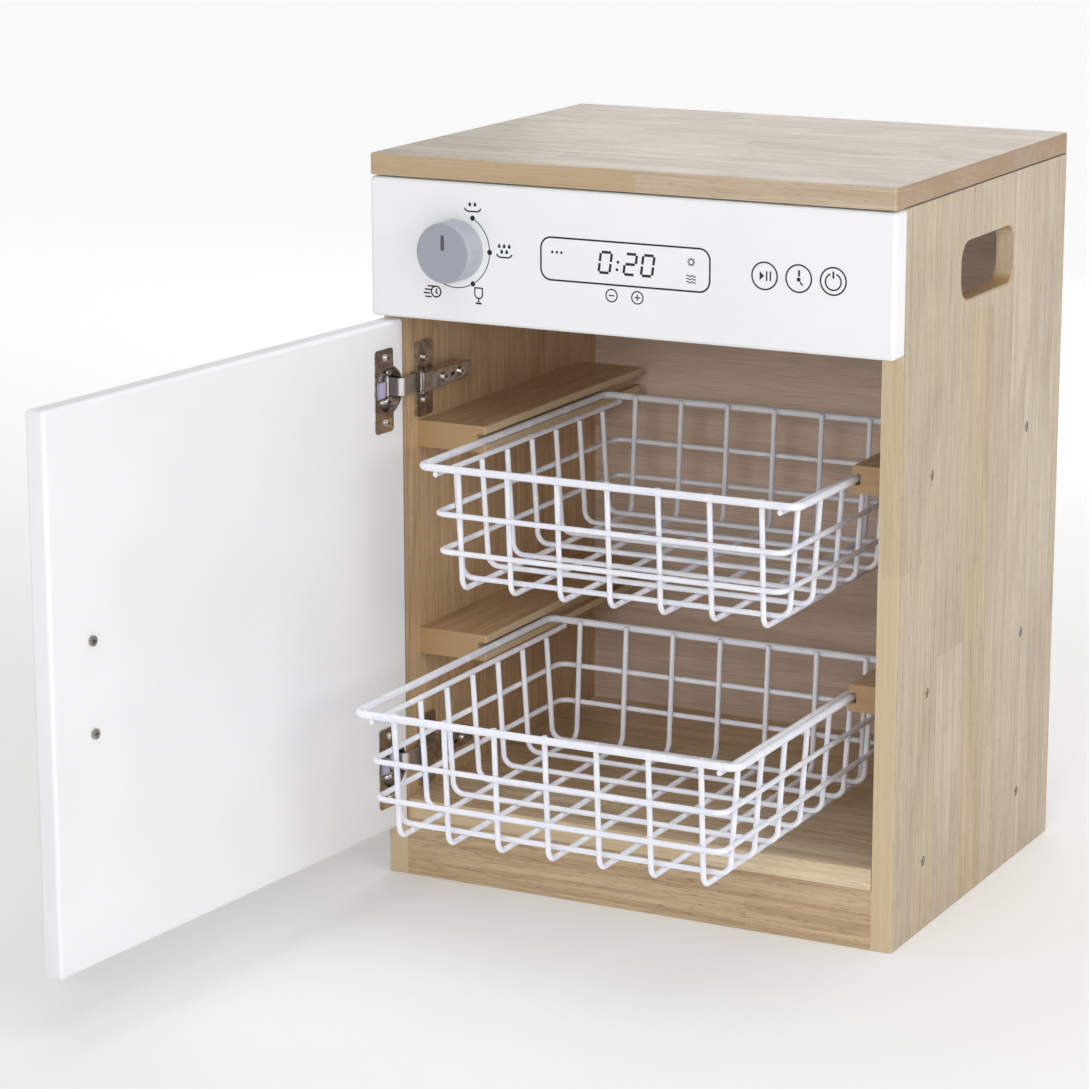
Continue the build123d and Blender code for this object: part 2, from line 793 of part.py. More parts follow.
def hoop(middle, half_width, half_length, height, bend, wire):
    """A closed rounded rectangle of round wire."""
    start = (middle[0] + half_width, middle[1], height)
    with BuildSketch(Plane.XY.offset(height)) as outline:
        with Locations(middle):
            RectangleRounded(2 * half_width, 2 * half_length, bend)
    path = outline.face().outer_wire()
    with BuildSketch(Plane(origin=start, x_dir=(1, 0, 0), z_dir=(0, 1, 0))) as section:
        Circle(wire / 2)
    sweep(sections=section.sketch, path=path)


def make_rim(level):
    """The heavy outer wire that rides in the grooves."""
    middle = (basket_middle, basket_front(level) + basket_length / 2)
    with BuildPart() as rim:
        hoop(middle, rim_half_width, basket_length / 2, rim_height(level), rim_bend, rim_wire)
    keep(rim, f"{level}_basket_rim")


def make_side_wires(level):
    """The two straight wires welded under the rim, which the cross wires hang from."""
    height = rim_height(level) - rim_wire / 2 - basket_wire / 2 - weld_gap
    with BuildPart() as wires:
        for sign in (-1, 1):
            x = basket_middle + sign * (rim_half_width - side_wire_inset)
            rod((x, basket_front(level), height), "y", basket_wire, basket_length)
    keep(wires, f"{level}_basket_side_wires")


def make_hoop_wire(level, which):
    """One hoop, welded round the outside of the basket's walls."""
    height = -hoop_drops[which]
    middle = (basket_middle, basket_front(level) + basket_length / 2)
    outwards = (basket_wire + weld_gap) * (1 + (basket_taper / basket_depth) ** 2) ** 0.5
    half_width = wall(rim_half_width - side_wire_inset, cross_wire_top, height) + outwards
    half_length = wall(long_wire_half, long_wire_top, height) + outwards
    with BuildPart() as wire:
        hoop(middle, half_width, half_length, rim_height(level) + height, rim_bend, basket_wire)
    keep(wire, f"{level}_basket_{which}_hoop")


def bent_wire(plane, half, top, bottom):
    """A wire bent to a wide U: down one leaning wall, along the bottom and up the other wall."""
    foot = wall(half, top, bottom)
    with BuildLine(plane) as line:
        FilletPolyline((-half, top), (-foot, bottom), (foot, bottom), (half, top), radius=wire_bend)
    start = line.line @ 0
    with BuildSketch(Plane(origin=start, z_dir=line.line % 0)) as section:
        Circle(basket_wire / 2)
    sweep(sections=section.sketch, path=line.line)


def make_long_wires(level):
    """The wires from front to back. Their ends are welded to the inner side of the rim."""
    height = rim_height(level)
    middle = basket_front(level) + basket_length / 2
    with BuildPart() as wires:
        for offset in mesh_offsets():
            plane = Plane(origin=(basket_middle + offset, middle, height), x_dir=(0, 1, 0),
                          z_dir=(1, 0, 0))
            bent_wire(plane, long_wire_half, long_wire_top, -basket_depth)
    keep(wires, f"{level}_basket_long_wires")


def make_cross_wires(level):
    """The wires from side to side. They lie on the long wires and end under the side wires."""
    height = rim_height(level)
    middle = basket_front(level) + basket_length / 2
    with BuildPart() as wires:
        for offset in mesh_offsets():
            plane = Plane(origin=(basket_middle, middle + offset, height), x_dir=(1, 0, 0),
                          z_dir=(0, -1, 0))
            bent_wire(plane, rim_half_width - side_wire_inset, cross_wire_top,
                      -basket_depth + basket_wire + weld_gap)
    keep(wires, f"{level}_basket_cross_wires")


os.makedirs("parts", exist_ok=True)
make_worktop()
make_side(-1, "left_side")
make_side(1, "right_side")
make_bottom_board()
make_plinth()
make_back_panel()
make_control_panel()
make_side_screws()
make_back_screws()
make_dowels(worktop_dowels_at, worktop_dowel_diameter, worktop_dowel_length, "z", "worktop_dowels")
make_dowels(panel_dowels_at, panel_dowel_diameter, panel_dowel_length, "y", "panel_dowels")
make_dowels(plinth_dowels_at, plinth_dowel_diameter, plinth_dowel_length, "z", "plinth_dowels")
make_door()
make_hinge_pins()
make_arm_pins()
make_plate_screws()
make_arm_screws()
make_cup_screws()
make_handle()
make_handle_screws()
make_knob()
make_knob_pointer()
make_knob_screw()
make_knob_washer()
for level in ("upper", "lower"):
    make_rail(-1, level)
    make_rail(1, level)
    make_hinge_cup(level)
    make_hinge_link(level)
    make_hinge_arm(level)
    make_hinge_plate(level)
    make_rim(level)
    make_side_wires(level)
    make_hoop_wire(level, "upper")
    make_hoop_wire(level, "lower")
    make_long_wires(level)
    make_cross_wires(level)
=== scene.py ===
# %% [markdown]
# # A wooden play dishwasher
#
# The toy is a small cabinet of glued rubberwood boards with a white lacquered front panel and door,
# two white wire baskets on grooved wooden runners, and dark nickel hinges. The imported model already
# holds every rigid piece at its true size, so it is loaded first as a fixed frame, and this lesson
# adds what the eye needs on top: surfaces, printed marks, screw recesses, light and a camera.

# %% load the frame
import math

import bmesh
import bpy
from mathutils import Matrix, Vector
from mathutils.bvhtree import BVHTree


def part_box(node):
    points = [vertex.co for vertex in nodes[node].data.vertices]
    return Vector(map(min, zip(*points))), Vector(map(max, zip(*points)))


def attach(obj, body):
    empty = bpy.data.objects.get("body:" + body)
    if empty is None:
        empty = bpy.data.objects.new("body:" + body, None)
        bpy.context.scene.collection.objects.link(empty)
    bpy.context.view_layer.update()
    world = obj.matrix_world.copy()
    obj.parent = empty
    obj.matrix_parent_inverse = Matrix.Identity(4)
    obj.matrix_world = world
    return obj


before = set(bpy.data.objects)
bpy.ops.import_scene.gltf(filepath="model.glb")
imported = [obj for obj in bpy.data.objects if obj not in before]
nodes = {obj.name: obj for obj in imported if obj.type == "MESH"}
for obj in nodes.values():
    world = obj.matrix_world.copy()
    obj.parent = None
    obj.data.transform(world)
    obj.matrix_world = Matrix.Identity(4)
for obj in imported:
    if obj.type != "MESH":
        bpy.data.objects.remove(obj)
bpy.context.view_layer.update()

# %% [markdown]
# Colours are written as the sRGB hex values that a picture editor shows. Blender mixes light in
# linear numbers, so one function turns a hex value to linear. Sizes are thought of in millimetres
# and handed to Blender in metres.

# %% colours and units
mm = 0.001


def linear(code):
    """A hex colour as linear red, green, blue and alpha."""
    channels = [int(code[i:i + 2], 16) / 255 for i in (1, 3, 5)]
    return [c / 12.92 if c <= 0.04045 else ((c + 0.055) / 1.055) ** 2.4 for c in channels] + [1.0]


print("mid grey in linear numbers:", [round(c, 3) for c in linear("#808080")])

# %% [markdown]
# A material is a small network of nodes. One helper adds a node, sets its own settings, and fills
# or links its inputs, so each recipe below reads as a list of what goes into what. A colour Mix node
# takes its two colours at inputs 6 and 7, and gives the result at output 2.

# %% one helper for every node


def add(tree, kind, inputs=None, stops=(), **settings):
    """Adds a node. An input given a socket is linked to it, and any other value is set. The stops
    of a colour ramp are pairs of a place and a hex colour."""
    node = tree.nodes.new("ShaderNode" + kind)
    for name, value in settings.items():
        setattr(node, name, value)
    for i, (spot, code) in enumerate(stops):
        ramp = node.color_ramp.elements
        stop = ramp[i] if i < 2 else ramp.new(spot)
        stop.position, stop.color = spot, linear(code)
    for key, value in (inputs or {}).items():
        if isinstance(value, bpy.types.NodeSocket):
            tree.links.new(value, node.inputs[key])
        else:
            node.inputs[key].default_value = value
    return node


def new_material(name):
    """An empty node material, its tree, and the toy's own coordinates in metres to draw it in."""
    material = bpy.data.materials.new(name)
    material.use_nodes = True
    tree = material.node_tree
    tree.nodes.clear()
    return material, tree, add(tree, "TexCoord").outputs["Object"]


print("node helpers ready")

# %% [markdown]
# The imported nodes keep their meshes. A finish reaches them through their material slots. The line
# of light along a pressed edge comes from a bevel modifier, which rounds only what is shown.

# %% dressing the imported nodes


def dress(material, *names):
    """Gives CAD nodes a material in place of the one they came with."""
    for name in names:
        slots = nodes[name].data.materials
        slots.clear()
        slots.append(material)


def soften_edges(width, *names):
    """Rounds a CAD node's sharp edges with a modifier, so that they catch a line of light."""
    for name in names:
        bevel = nodes[name].modifiers.new("edge_round", "BEVEL")
        bevel.width = width
        bevel.segments = 2
        bevel.limit_method = "ANGLE"
        bevel.angle_limit = math.radians(40)


print(len(nodes), "nodes to dress")

# %% [markdown]
# ## Rubberwood
#
# Rubberwood is a pale straw-coloured hardwood from old rubber trees. The trees give short lengths,
# so boards are glued up from narrow staves, and each stave is joined end to end from shorter blocks
# with zigzag finger joints. The eye reads four things: blocks that differ a little in tone, soft
# growth bands in long arches, short brown pore streaks along the grain, and thin glue lines.
#
# A picture of wood would slide over the edges. Here the wood is solid instead: every block is cut
# from its own imaginary trunk, so a face shows arches and the board's end shows ring pieces and
# pore dots from the same recipe. Every scale comes from a real size.

# %% rubberwood, first part: which block a point lies in
finger_pitch, finger_depth = 4.0, 3.0
uneven_row = {"Scale": 1.0, "Randomness": 0.55}


def glued_blocks(tree, run, wide, deep, seed, stave, block):
    """Finds a point's stave and block. Gives random numbers for the block, how far the point lies
    from the stave's middle in staves, and how dark the glue is there. The factors 3.17 and 37 only
    shift one board's or stave's pattern against the next."""
    stave_place = add(tree, "Math", {0: wide, 1: 1000 / stave, 2: seed * 3.17},
                      operation="MULTIPLY_ADD").outputs[0]
    staves = add(tree, "TexVoronoi", {"W": stave_place, **uneven_row},
                 voronoi_dimensions="1D").outputs
    luck = add(tree, "SeparateColor", {0: staves["Color"]}).outputs

    # The fingers run through the thickness: a zigzag on an edge, and a straight line on a face.
    finger = add(tree, "Math", {0: deep, 1: finger_pitch / 2 * mm}, operation="PINGPONG").outputs[0]
    zigzag = add(tree, "Math", {0: finger, 1: 2 * finger_depth / finger_pitch, 2: run},
                 operation="MULTIPLY_ADD").outputs[0]
    shift = add(tree, "Math", {0: luck[0], 1: 37.0, 2: seed}, operation="MULTIPLY_ADD").outputs[0]
    block_place = add(tree, "Math", {0: zigzag, 1: 1000 / block, 2: shift},
                      operation="MULTIPLY_ADD").outputs[0]
    row = add(tree, "TexVoronoi", {"W": block_place, **uneven_row}, voronoi_dimensions="1D")
    blocks = add(tree, "SeparateColor", {0: row.outputs["Color"]}).outputs
    key = add(tree, "CombineXYZ", {0: luck[1], 1: blocks[1], 2: blocks[2]})
    chance = add(tree, "TexWhiteNoise", {"Vector": key.outputs[0]}, noise_dimensions="3D").outputs

    off_middle = add(tree, "Math", {0: stave_place, 1: staves["W"]},
                     operation="SUBTRACT").outputs[0]
    lines = []
    for place, length in ((stave_place, stave), (block_place, block)):
        edge = add(tree, "TexVoronoi", {"W": place, **uneven_row}, voronoi_dimensions="1D",
                   feature="DISTANCE_TO_EDGE").outputs["Distance"]
        lines.append(add(tree, "MapRange", {"Value": edge, "From Max": 0.4 / length, "To Min": 0.22,
                                            "To Max": 0.0}).outputs[0])
    glue = add(tree, "Math", {0: lines[0], 1: lines[1]}, operation="MAXIMUM").outputs[0]
    return chance, off_middle, glue


print("finger joints", finger_depth, "mm deep and", finger_pitch, "mm apart")

# %% [markdown]
# A trunk grows in layers round its pith, and a saw cuts through them at a slant. So the bands are
# not drawn on the face: a point's distance from the pith gives its layer, and a pith that leans and
# wanders a little turns straight bands into the arches of a real board.

# %% rubberwood, second part: the tree inside a block
pith_depth, pith_side = (20, 80), 35


def growth_rings(tree, run, wide, deep, chance, off_middle, stave):
    """How dark the growth bands are. Every block has a pith of its own, under the face and a
    little to one side, and a lean of its own."""
    lucky = add(tree, "SeparateColor", {0: chance["Color"]}).outputs
    along = add(tree, "CombineXYZ", {0: run, 1: wide, 2: deep}).outputs[0]
    slow = add(tree, "Mapping", {"Vector": along, "Scale": (4.0, 9.0, 9.0)})
    drift = add(tree, "VectorMath", {0: slow.outputs[0], 1: chance["Color"]}, operation="ADD")
    wander = add(tree, "TexNoise", {"Vector": drift.outputs[0], "Scale": 1.0, "Detail": 2.0})
    bend = add(tree, "MapRange", {"Value": wander.outputs[0], "To Min": -9 * mm, "To Max": 9 * mm})
    side = add(tree, "MapRange", {"Value": lucky[0], "To Min": -pith_side * mm,
                                  "To Max": pith_side * mm})
    under = add(tree, "MapRange", {"Value": lucky[1], "To Min": pith_depth[0] * mm,
                                   "To Max": pith_depth[1] * mm})
    lean = add(tree, "MapRange", {"Value": lucky[2], "To Min": -0.05, "To Max": 0.05})
    off_side = add(tree, "Math", {0: off_middle, 1: stave * mm, 2: side.outputs[0]},
                   operation="MULTIPLY_ADD")
    leaning = add(tree, "Math", {0: run, 1: lean.outputs[0], 2: under.outputs[0]},
                  operation="MULTIPLY_ADD")
    depth = add(tree, "Math", {0: deep, 1: leaning.outputs[0]}, operation="ADD")
    bent = add(tree, "Math", {0: depth.outputs[0], 1: bend.outputs[0]}, operation="ADD")
    radial = add(tree, "CombineXYZ", {0: off_side.outputs[0], 1: bent.outputs[0]})
    radius = add(tree, "VectorMath", {0: radial.outputs[0]}, operation="LENGTH").outputs["Value"]
    soft = add(tree, "TexNoise", {"W": radius, "Scale": 190.0, "Detail": 3.0, "Roughness": 0.65},
               noise_dimensions="1D").outputs[0]
    return add(tree, "MapRange", {"Value": soft, "From Min": 0.40, "From Max": 0.72}).outputs[0]


print("pith", pith_depth[0], "to", pith_depth[1], "mm under the face, up to", pith_side, "aside")

# %% [markdown]
# Finer marks run along the wood between the rings. Each kind is a noise drawn out along the grain.
# A real pore is 0.3 mm wide, too fine to show, so pores are drawn 0.8 mm wide and 10 mm long.

# %% rubberwood, third part: streaks, lines, fibres and pores
# Waves in a metre along and across the grain, the noise's detail, and where it begins and ends.
mark_kinds = {
    "streaks": ((4.0, 170.0), 2.0, 0.38, 0.68), "lines": ((9.0, 420.0), 1.0, 0.42, 0.70),
    "fibres": ((24.0, 950.0), 3.0, 0.36, 0.70), "pores": ((95.0, 1200.0), 1.0, 0.61, 0.72),
}


def grain_marks(tree, run, wide, deep, seed):
    """The four kinds of mark, each from 0 where it is missing to 1 where it is strongest."""
    along = add(tree, "CombineXYZ", {0: run, 1: wide, 2: deep}).outputs[0]
    marks = []
    for (length, width), detail, low, high in mark_kinds.values():
        drawn = add(tree, "Mapping", {"Vector": along, "Scale": (length, width, width),
                                      "Location": (seed, seed, seed)})
        noise = add(tree, "TexNoise", {"Vector": drawn.outputs[0], "Scale": 1.0, "Detail": detail})
        marks.append(add(tree, "MapRange", {"Value": noise.outputs[0], "From Min": low,
                                            "From Max": high}).outputs[0])
    return marks


for kind, ((length, width), *_) in mark_kinds.items():
    print(kind, round(1000 / width, 1), "mm wide and", round(1000 / length), "mm long")

# %% [markdown]
# Edges and slots are sawn, not sanded like a face. Their open fibres drink lacquer and turn warm,
# one block more than the next, and where the saw crossed the grain, the ends of the fibres turn
# darker still. The surface's own direction tells which it is, so one recipe serves a whole board.

# %% rubberwood, fourth part: sawn edges and ends


def sawn_faces(tree, colour, normal, grain, through, luck, edge):
    """Warms the colour where the surface looks along the board, and darkens it at the ends."""
    flat = add(tree, "Math", {0: normal[through]}, operation="ABSOLUTE").outputs[0]
    sawn = add(tree, "MapRange", {"Value": flat, "From Min": 0.9, "From Max": 0.4}).outputs[0]
    thirst = add(tree, "MapRange", {"Value": luck, "To Min": 0.9, "To Max": 0.4})
    warm = add(tree, "Math", {0: sawn, 1: thirst.outputs[0]}, operation="MULTIPLY").outputs[0]
    warmed = add(tree, "Mix", {"Factor": warm, 6: colour, 7: linear(edge)}, data_type="RGBA")
    along_grain = add(tree, "Math", {0: normal[grain]}, operation="ABSOLUTE").outputs[0]
    end = add(tree, "MapRange", {"Value": along_grain, "From Min": 0.6, "From Max": 0.9,
                                 "To Max": 0.75}).outputs[0]
    return add(tree, "Mix", {"Factor": end, 6: warmed.outputs[2], 7: linear("#cdb592")},
               data_type="RGBA", blend_type="MULTIPLY").outputs[2]


def evenly(tones):
    """A colour ramp's stops, one for each tone, at even steps."""
    return [(i / (len(tones) - 1), code) for i, code in enumerate(tones)]


print("three tones stand at", [spot for spot, code in evenly("abc")])

# %% [markdown]
# The block's tone comes first, then each darker mark is laid over it like thin stain, multiplied
# rather than mixed, so that it deepens the wood and never greys it. A thin satin lacquer closes it:
# pores stay open as tiny dents, and fibres lift the shine unevenly.

# %% rubberwood, fifth part: the material


def rubberwood(name, grain, across, through, seed, tones, stave=46.0, block=210.0, figure=1.0,
               edge="#d2bc97", joint=None, bounce_lit_side=None):
    """Glued rubberwood. The three axes say where the grain, the staves and the thickness run. A
    board that ends at another one gets painted shade there: a dark line, at that distance along
    the grain, for the shade in the seam. A side of the cabinet gets warmer tones on the face that
    looks into the tub, as painted bounce light, given with that face's sign."""
    material, tree, place = new_material(name)
    axes = add(tree, "SeparateXYZ", {0: place}).outputs
    normal = add(tree, "SeparateXYZ", {0: add(tree, "TexCoord").outputs["Normal"]}).outputs
    run, wide, deep = axes[grain], axes[across], axes[through]
    chance, off_middle, glue = glued_blocks(tree, run, wide, deep, seed, stave, block)
    rings = growth_rings(tree, run, wide, deep, chance, off_middle, stave)
    streaks, lines, fibres, pores = grain_marks(tree, run, wide, deep, seed)

    luck = chance["Value"]
    colour = add(tree, "ValToRGB", {"Fac": luck}, stops=evenly(tones)).outputs[0]
    # Painted bounce light: the faces that look into the tub get warmer copies of the tones.
    if bounce_lit_side:
        inner, sign = bounce_lit_side
        bounce_lit_colour = add(tree, "ValToRGB", {"Fac": luck}, stops=evenly(inner)).outputs[0]
        bounce_lit_faces = add(tree, "MapRange", {"Value": normal[through], "From Min": sign * 0.4,
                                          "From Max": sign * 0.6}).outputs[0]
        colour = add(tree, "Mix", {"Factor": bounce_lit_faces, 6: colour, 7: bounce_lit_colour},
                     data_type="RGBA").outputs[2]
    stains = [(rings, "#a3825f", 0.30), (streaks, "#b89c7c", 0.26), (lines, "#a98b69", 0.26),
              (fibres, "#ab8c69", 0.26), (pores, "#80603f", 0.5)]
    thin = [(add(tree, "Math", {0: mark, 1: share * figure}, operation="MULTIPLY").outputs[0], stain)
            for mark, stain, share in stains]
    for share, stain in thin + [(glue, "#6e4f33")]:
        colour = add(tree, "Mix", {"Factor": share, 6: colour, 7: linear(stain)},
                     data_type="RGBA", blend_type="MULTIPLY").outputs[2]
    colour = sawn_faces(tree, colour, normal, grain, through, luck, edge)
    # Painted shade: a dark line on a side just under the worktop, for the shade in the seam there.
    if joint:
        dark = add(tree, "MapRange", {"Value": run, "From Min": joint - 1.0 * mm,
                                      "From Max": joint - 0.4 * mm, "To Max": 0.75}).outputs[0]
        colour = add(tree, "Mix", {"Factor": dark, 6: colour, 7: linear("#4a3826")},
                     data_type="RGBA", blend_type="MULTIPLY").outputs[2]

    gloss = add(tree, "MapRange", {"Value": fibres, "To Min": 0.40, "To Max": 0.52})
    dents = add(tree, "Math", {0: pores, 1: -1.0, 2: fibres}, operation="MULTIPLY_ADD")
    bump = add(tree, "Bump", {"Strength": 0.3, "Distance": 0.05 * mm, "Height": dents.outputs[0]})
    shader = add(tree, "BsdfPrincipled", {
        "Base Color": colour, "Roughness": gloss.outputs[0], "IOR": 1.5,
        "Coat Weight": 0.3, "Coat Roughness": 0.22, "Normal": bump.outputs[0],
    })
    add(tree, "OutputMaterial", {"Surface": shader.outputs["BSDF"]})
    print(name, "staves", stave, "mm wide, blocks", block, "mm long")
    return material


top_tones = ["#dcd3c3", "#d5cab6", "#e1d8ca", "#d9cebe"]
outer_tones = ["#c7b58e", "#cfc0a8", "#c8b797", "#d3c4ad"]
# Painted bounce light: warmer copies of the sides' tones, for their faces in the tub.
bounce_lit_tones = ["#dcbd94", "#e2c7a1", "#d6b58a"]
base_tones = ["#d4bd97", "#cab28c", "#d9c4a0"]
floor_tones = ["#f0ddba", "#e4cea8", "#f6e6c8"]
runner_tones = ["#d3b48f", "#c8a682", "#dabb96"]

# %% [markdown]
# The worktop's grain runs from left to right. The sides' grain runs upright, in longer blocks, and
# their faces that look into the tub get warmer tones, which is painted bounce light. Plinth and
# bottom board run from left to right again, and the runners from front to back. Each recipe has its
# own seed, so that no two show the same blocks.

# %% boards in rubberwood
dress(rubberwood("rubberwood worktop", "X", "Y", "Z", 5.0, top_tones, stave=42.0, block=190.0,
                 figure=1.1, edge="#b99d77"), "worktop")
worktop_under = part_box("worktop")[0].z
for side, seed, sign in (("left", 11.0, 1), ("right", 7.0, -1)):
    dress(rubberwood(f"rubberwood {side} side", "Z", "Y", "X", seed, outer_tones, block=900.0,
                     figure=0.85, joint=worktop_under, bounce_lit_side=(bounce_lit_tones, sign)), f"{side}_side")
dress(rubberwood("rubberwood floor board", "X", "Y", "Z", 6.0, floor_tones, block=260.0),
      "bottom_board")
dress(rubberwood("rubberwood plinth", "X", "Z", "Y", 8.0, base_tones, stave=60.0, block=240.0),
      "plinth")
dress(rubberwood("rubberwood runner", "Y", "X", "Z", 15.0, runner_tones, stave=70.0, block=330.0),
      "upper_left_rail", "upper_right_rail", "lower_left_rail", "lower_right_rail")
dress(rubberwood("beech dowel", "Z", "X", "Y", 21.0, ["#d9b98e", "#cfae82"], stave=70.0),
      "worktop_dowels", "panel_dowels", "plinth_dowels")

# %% [markdown]
# ## Plywood back
#
# The back is thin plywood. Its face veneer is peeled from the log like a roll, so the blade crosses
# each ring at a flat angle and the bands come out broad, wavy and soft, with no glued staves. A
# noise in one direction makes the bands, and a second, slow one bends them.

# %% plywood recipe
material, tree, place = new_material("peeled plywood veneer")
broad_map = add(tree, "Mapping", {"Vector": place, "Scale": (3.0, 20.0, 26.0)})
sway = add(tree, "TexNoise", {"Vector": broad_map.outputs[0], "Scale": 1.0, "Detail": 3.0})
height = add(tree, "SeparateXYZ", {0: place}).outputs["Z"]
waved = add(tree, "Math", {0: sway.outputs[0], 1: 90 * mm, 2: height}, operation="MULTIPLY_ADD")
bands = add(tree, "TexNoise", {"W": waved.outputs[0], "Scale": 75.0, "Detail": 3.0,
                               "Roughness": 0.55}, noise_dimensions="1D")
grain_map = add(tree, "Mapping", {"Vector": place, "Scale": (30.0, 900.0, 900.0)})
grain = add(tree, "TexNoise", {"Vector": grain_map.outputs[0], "Scale": 1.0, "Detail": 3.0})
tone = add(tree, "ValToRGB", {"Fac": bands.outputs[0]}, stops=[(0.30, "#ebd8c8"), (0.72, "#dec9b6")])
share = add(tree, "MapRange", {"Value": grain.outputs[0], "From Min": 0.35, "From Max": 0.7,
                               "To Max": 0.3})
grained = add(tree, "Mix", {"Factor": share.outputs[0], 6: tone.outputs[0], 7: linear("#a88e78")},
              data_type="RGBA", blend_type="MULTIPLY")
bump = add(tree, "Bump", {"Strength": 0.3, "Distance": 0.05 * mm, "Height": grain.outputs[0]})
shader = add(tree, "BsdfPrincipled", {
    "Base Color": grained.outputs[2], "Roughness": 0.55, "IOR": 1.5, "Normal": bump.outputs[0]})
add(tree, "OutputMaterial", {"Surface": shader.outputs["BSDF"]})
dress(material, "back_panel")
print("back panel in", material.name)

# %% [markdown]
# ## White lacquered board
#
# The door and the front panel are medium-density fibreboard, sanded, rounded at every edge and
# sprayed white. Sprayed lacquer never dries dead flat: it keeps a faint dimpled skin, called orange
# peel, with dimples 2 to 4 mm apart. It is too shallow to see head on, but it softens reflections.

# %% sprayed lacquer recipe
material, tree, place = new_material("white sprayed lacquer")
peel = add(tree, "TexNoise", {"Vector": place, "Scale": 330.0, "Detail": 2.0})
cloud = add(tree, "TexNoise", {"Vector": place, "Scale": 9.0, "Detail": 2.0})
tone = add(tree, "ValToRGB", {"Fac": cloud.outputs[0]}, stops=[(0.35, "#f1f1f3"), (0.65, "#f4f4f6")])
gloss = add(tree, "MapRange", {"Value": cloud.outputs[0], "To Min": 0.34, "To Max": 0.42})
bump = add(tree, "Bump", {"Strength": 0.25, "Distance": 0.04 * mm, "Height": peel.outputs[0]})
shader = add(tree, "BsdfPrincipled", {
    "Base Color": tone.outputs[0], "Roughness": gloss.outputs[0], "IOR": 1.5,
    "Normal": bump.outputs[0]})
add(tree, "OutputMaterial", {"Surface": shader.outputs["BSDF"]})
dress(material, "door", "control_panel")
print("door and panel in", material.name)

# %% [markdown]
# ## Coated wire
#
# The baskets are spot-welded steel wire, dipped hot into white plastic powder that melts to a
# thick, smooth skin. The skin is shiny but soft-edged, and a little uneven along the wire, so one
# slow noise moves its tone, its shine and its thickness together.

# %% powder coat recipe
material, tree, place = new_material("white powder-coated wire")
flow = add(tree, "TexNoise", {"Vector": place, "Scale": 45.0, "Detail": 1.0})
gloss = add(tree, "MapRange", {"Value": flow.outputs[0], "To Min": 0.2, "To Max": 0.32})
bump = add(tree, "Bump", {"Strength": 0.2, "Distance": 0.1 * mm, "Height": flow.outputs[0]})
tone = add(tree, "ValToRGB", {"Fac": flow.outputs[0]}, stops=[(0.3, "#e9ebf5"), (0.7, "#f2f3fa")])
shader = add(tree, "BsdfPrincipled", {
    "Base Color": tone.outputs[0], "Roughness": gloss.outputs[0], "IOR": 1.5,
    "Normal": bump.outputs[0]})
add(tree, "OutputMaterial", {"Surface": shader.outputs["BSDF"]})
basket_pieces = ["rim", "side_wires", "upper_hoop", "lower_hoop", "long_wires", "cross_wires"]
wires = [f"{level}_basket_{piece}" for level in ("upper", "lower") for piece in basket_pieces]
dress(material, *wires)
print("coated", len(wires), "wire nodes")

# %% [markdown]
# ## Metals
#
# Cheap concealed hinges are pressed from sheet steel and plated with a dark, bright nickel. Their
# pins and small screws are lighter, the furniture screws are zinc plated and duller, and the handle
# is brushed to a satin. All are metals, so the colour belongs to the reflection, and small changes
# in roughness keep them from looking like chrome.

# %% metal recipe


def plated_steel(name, colour, smudge, low, high):
    """Plated steel: one reflection colour, clouded by handling, with a roughness range."""
    material, tree, place = new_material(name)
    cloud = add(tree, "TexNoise", {"Vector": place, "Scale": 160.0, "Detail": 4.0})
    grit = add(tree, "TexNoise", {"Vector": place, "Scale": 1800.0, "Detail": 1.0})
    tone = add(tree, "ValToRGB", {"Fac": cloud.outputs[0]}, stops=[(0.35, smudge), (0.65, colour)])
    gloss = add(tree, "MapRange", {"Value": cloud.outputs[0], "From Min": 0.3, "From Max": 0.7,
                                   "To Min": high, "To Max": low})
    # The press leaves dents some 6 mm wide, and the plating a fine grit.
    dents = add(tree, "Bump", {"Strength": 0.35, "Distance": 0.2 * mm, "Height": cloud.outputs[0]})
    bump = add(tree, "Bump", {"Strength": 0.2, "Distance": 0.03 * mm, "Height": grit.outputs[0],
                              "Normal": dents.outputs[0]})
    shader = add(tree, "BsdfPrincipled", {
        "Base Color": tone.outputs[0], "Metallic": 1.0, "Roughness": gloss.outputs[0],
        "Normal": bump.outputs[0]})
    add(tree, "OutputMaterial", {"Surface": shader.outputs["BSDF"]})
    print(name, "roughness", low, "to", high)
    return material


dark_nickel = plated_steel("dark nickel plate", "#d6cfc7", "#a79f97", 0.14, 0.3)
bright_nickel = plated_steel("bright nickel plate", "#ece9e5", "#d0ccc7", 0.2, 0.32)
zinc = plated_steel("zinc plate", "#b9b6ae", "#99948b", 0.26, 0.42)
link_nickel = plated_steel("worn nickel plate", "#dedbd7", "#c9c5c0", 0.34, 0.46)
satin_nickel = plated_steel("satin nickel", "#b4b2af", "#a5a29e", 0.3, 0.4)
for level in ("upper", "lower"):
    pressed = [f"{level}_hinge_{piece}" for piece in ("cup", "arm", "plate")]
    dress(dark_nickel, *pressed)
    dress(link_nickel, f"{level}_hinge_link")
    soften_edges(0.45 * mm, *pressed, f"{level}_hinge_link")
dress(bright_nickel, "hinge_pins", "hinge_arm_pins", "hinge_arm_screws", "hinge_cup_screws",
      "hinge_plate_screws")
dress(zinc, "side_screws", "back_panel_screws", "handle_screws", "knob_screw", "knob_washer")
dress(satin_nickel, "door_handle")
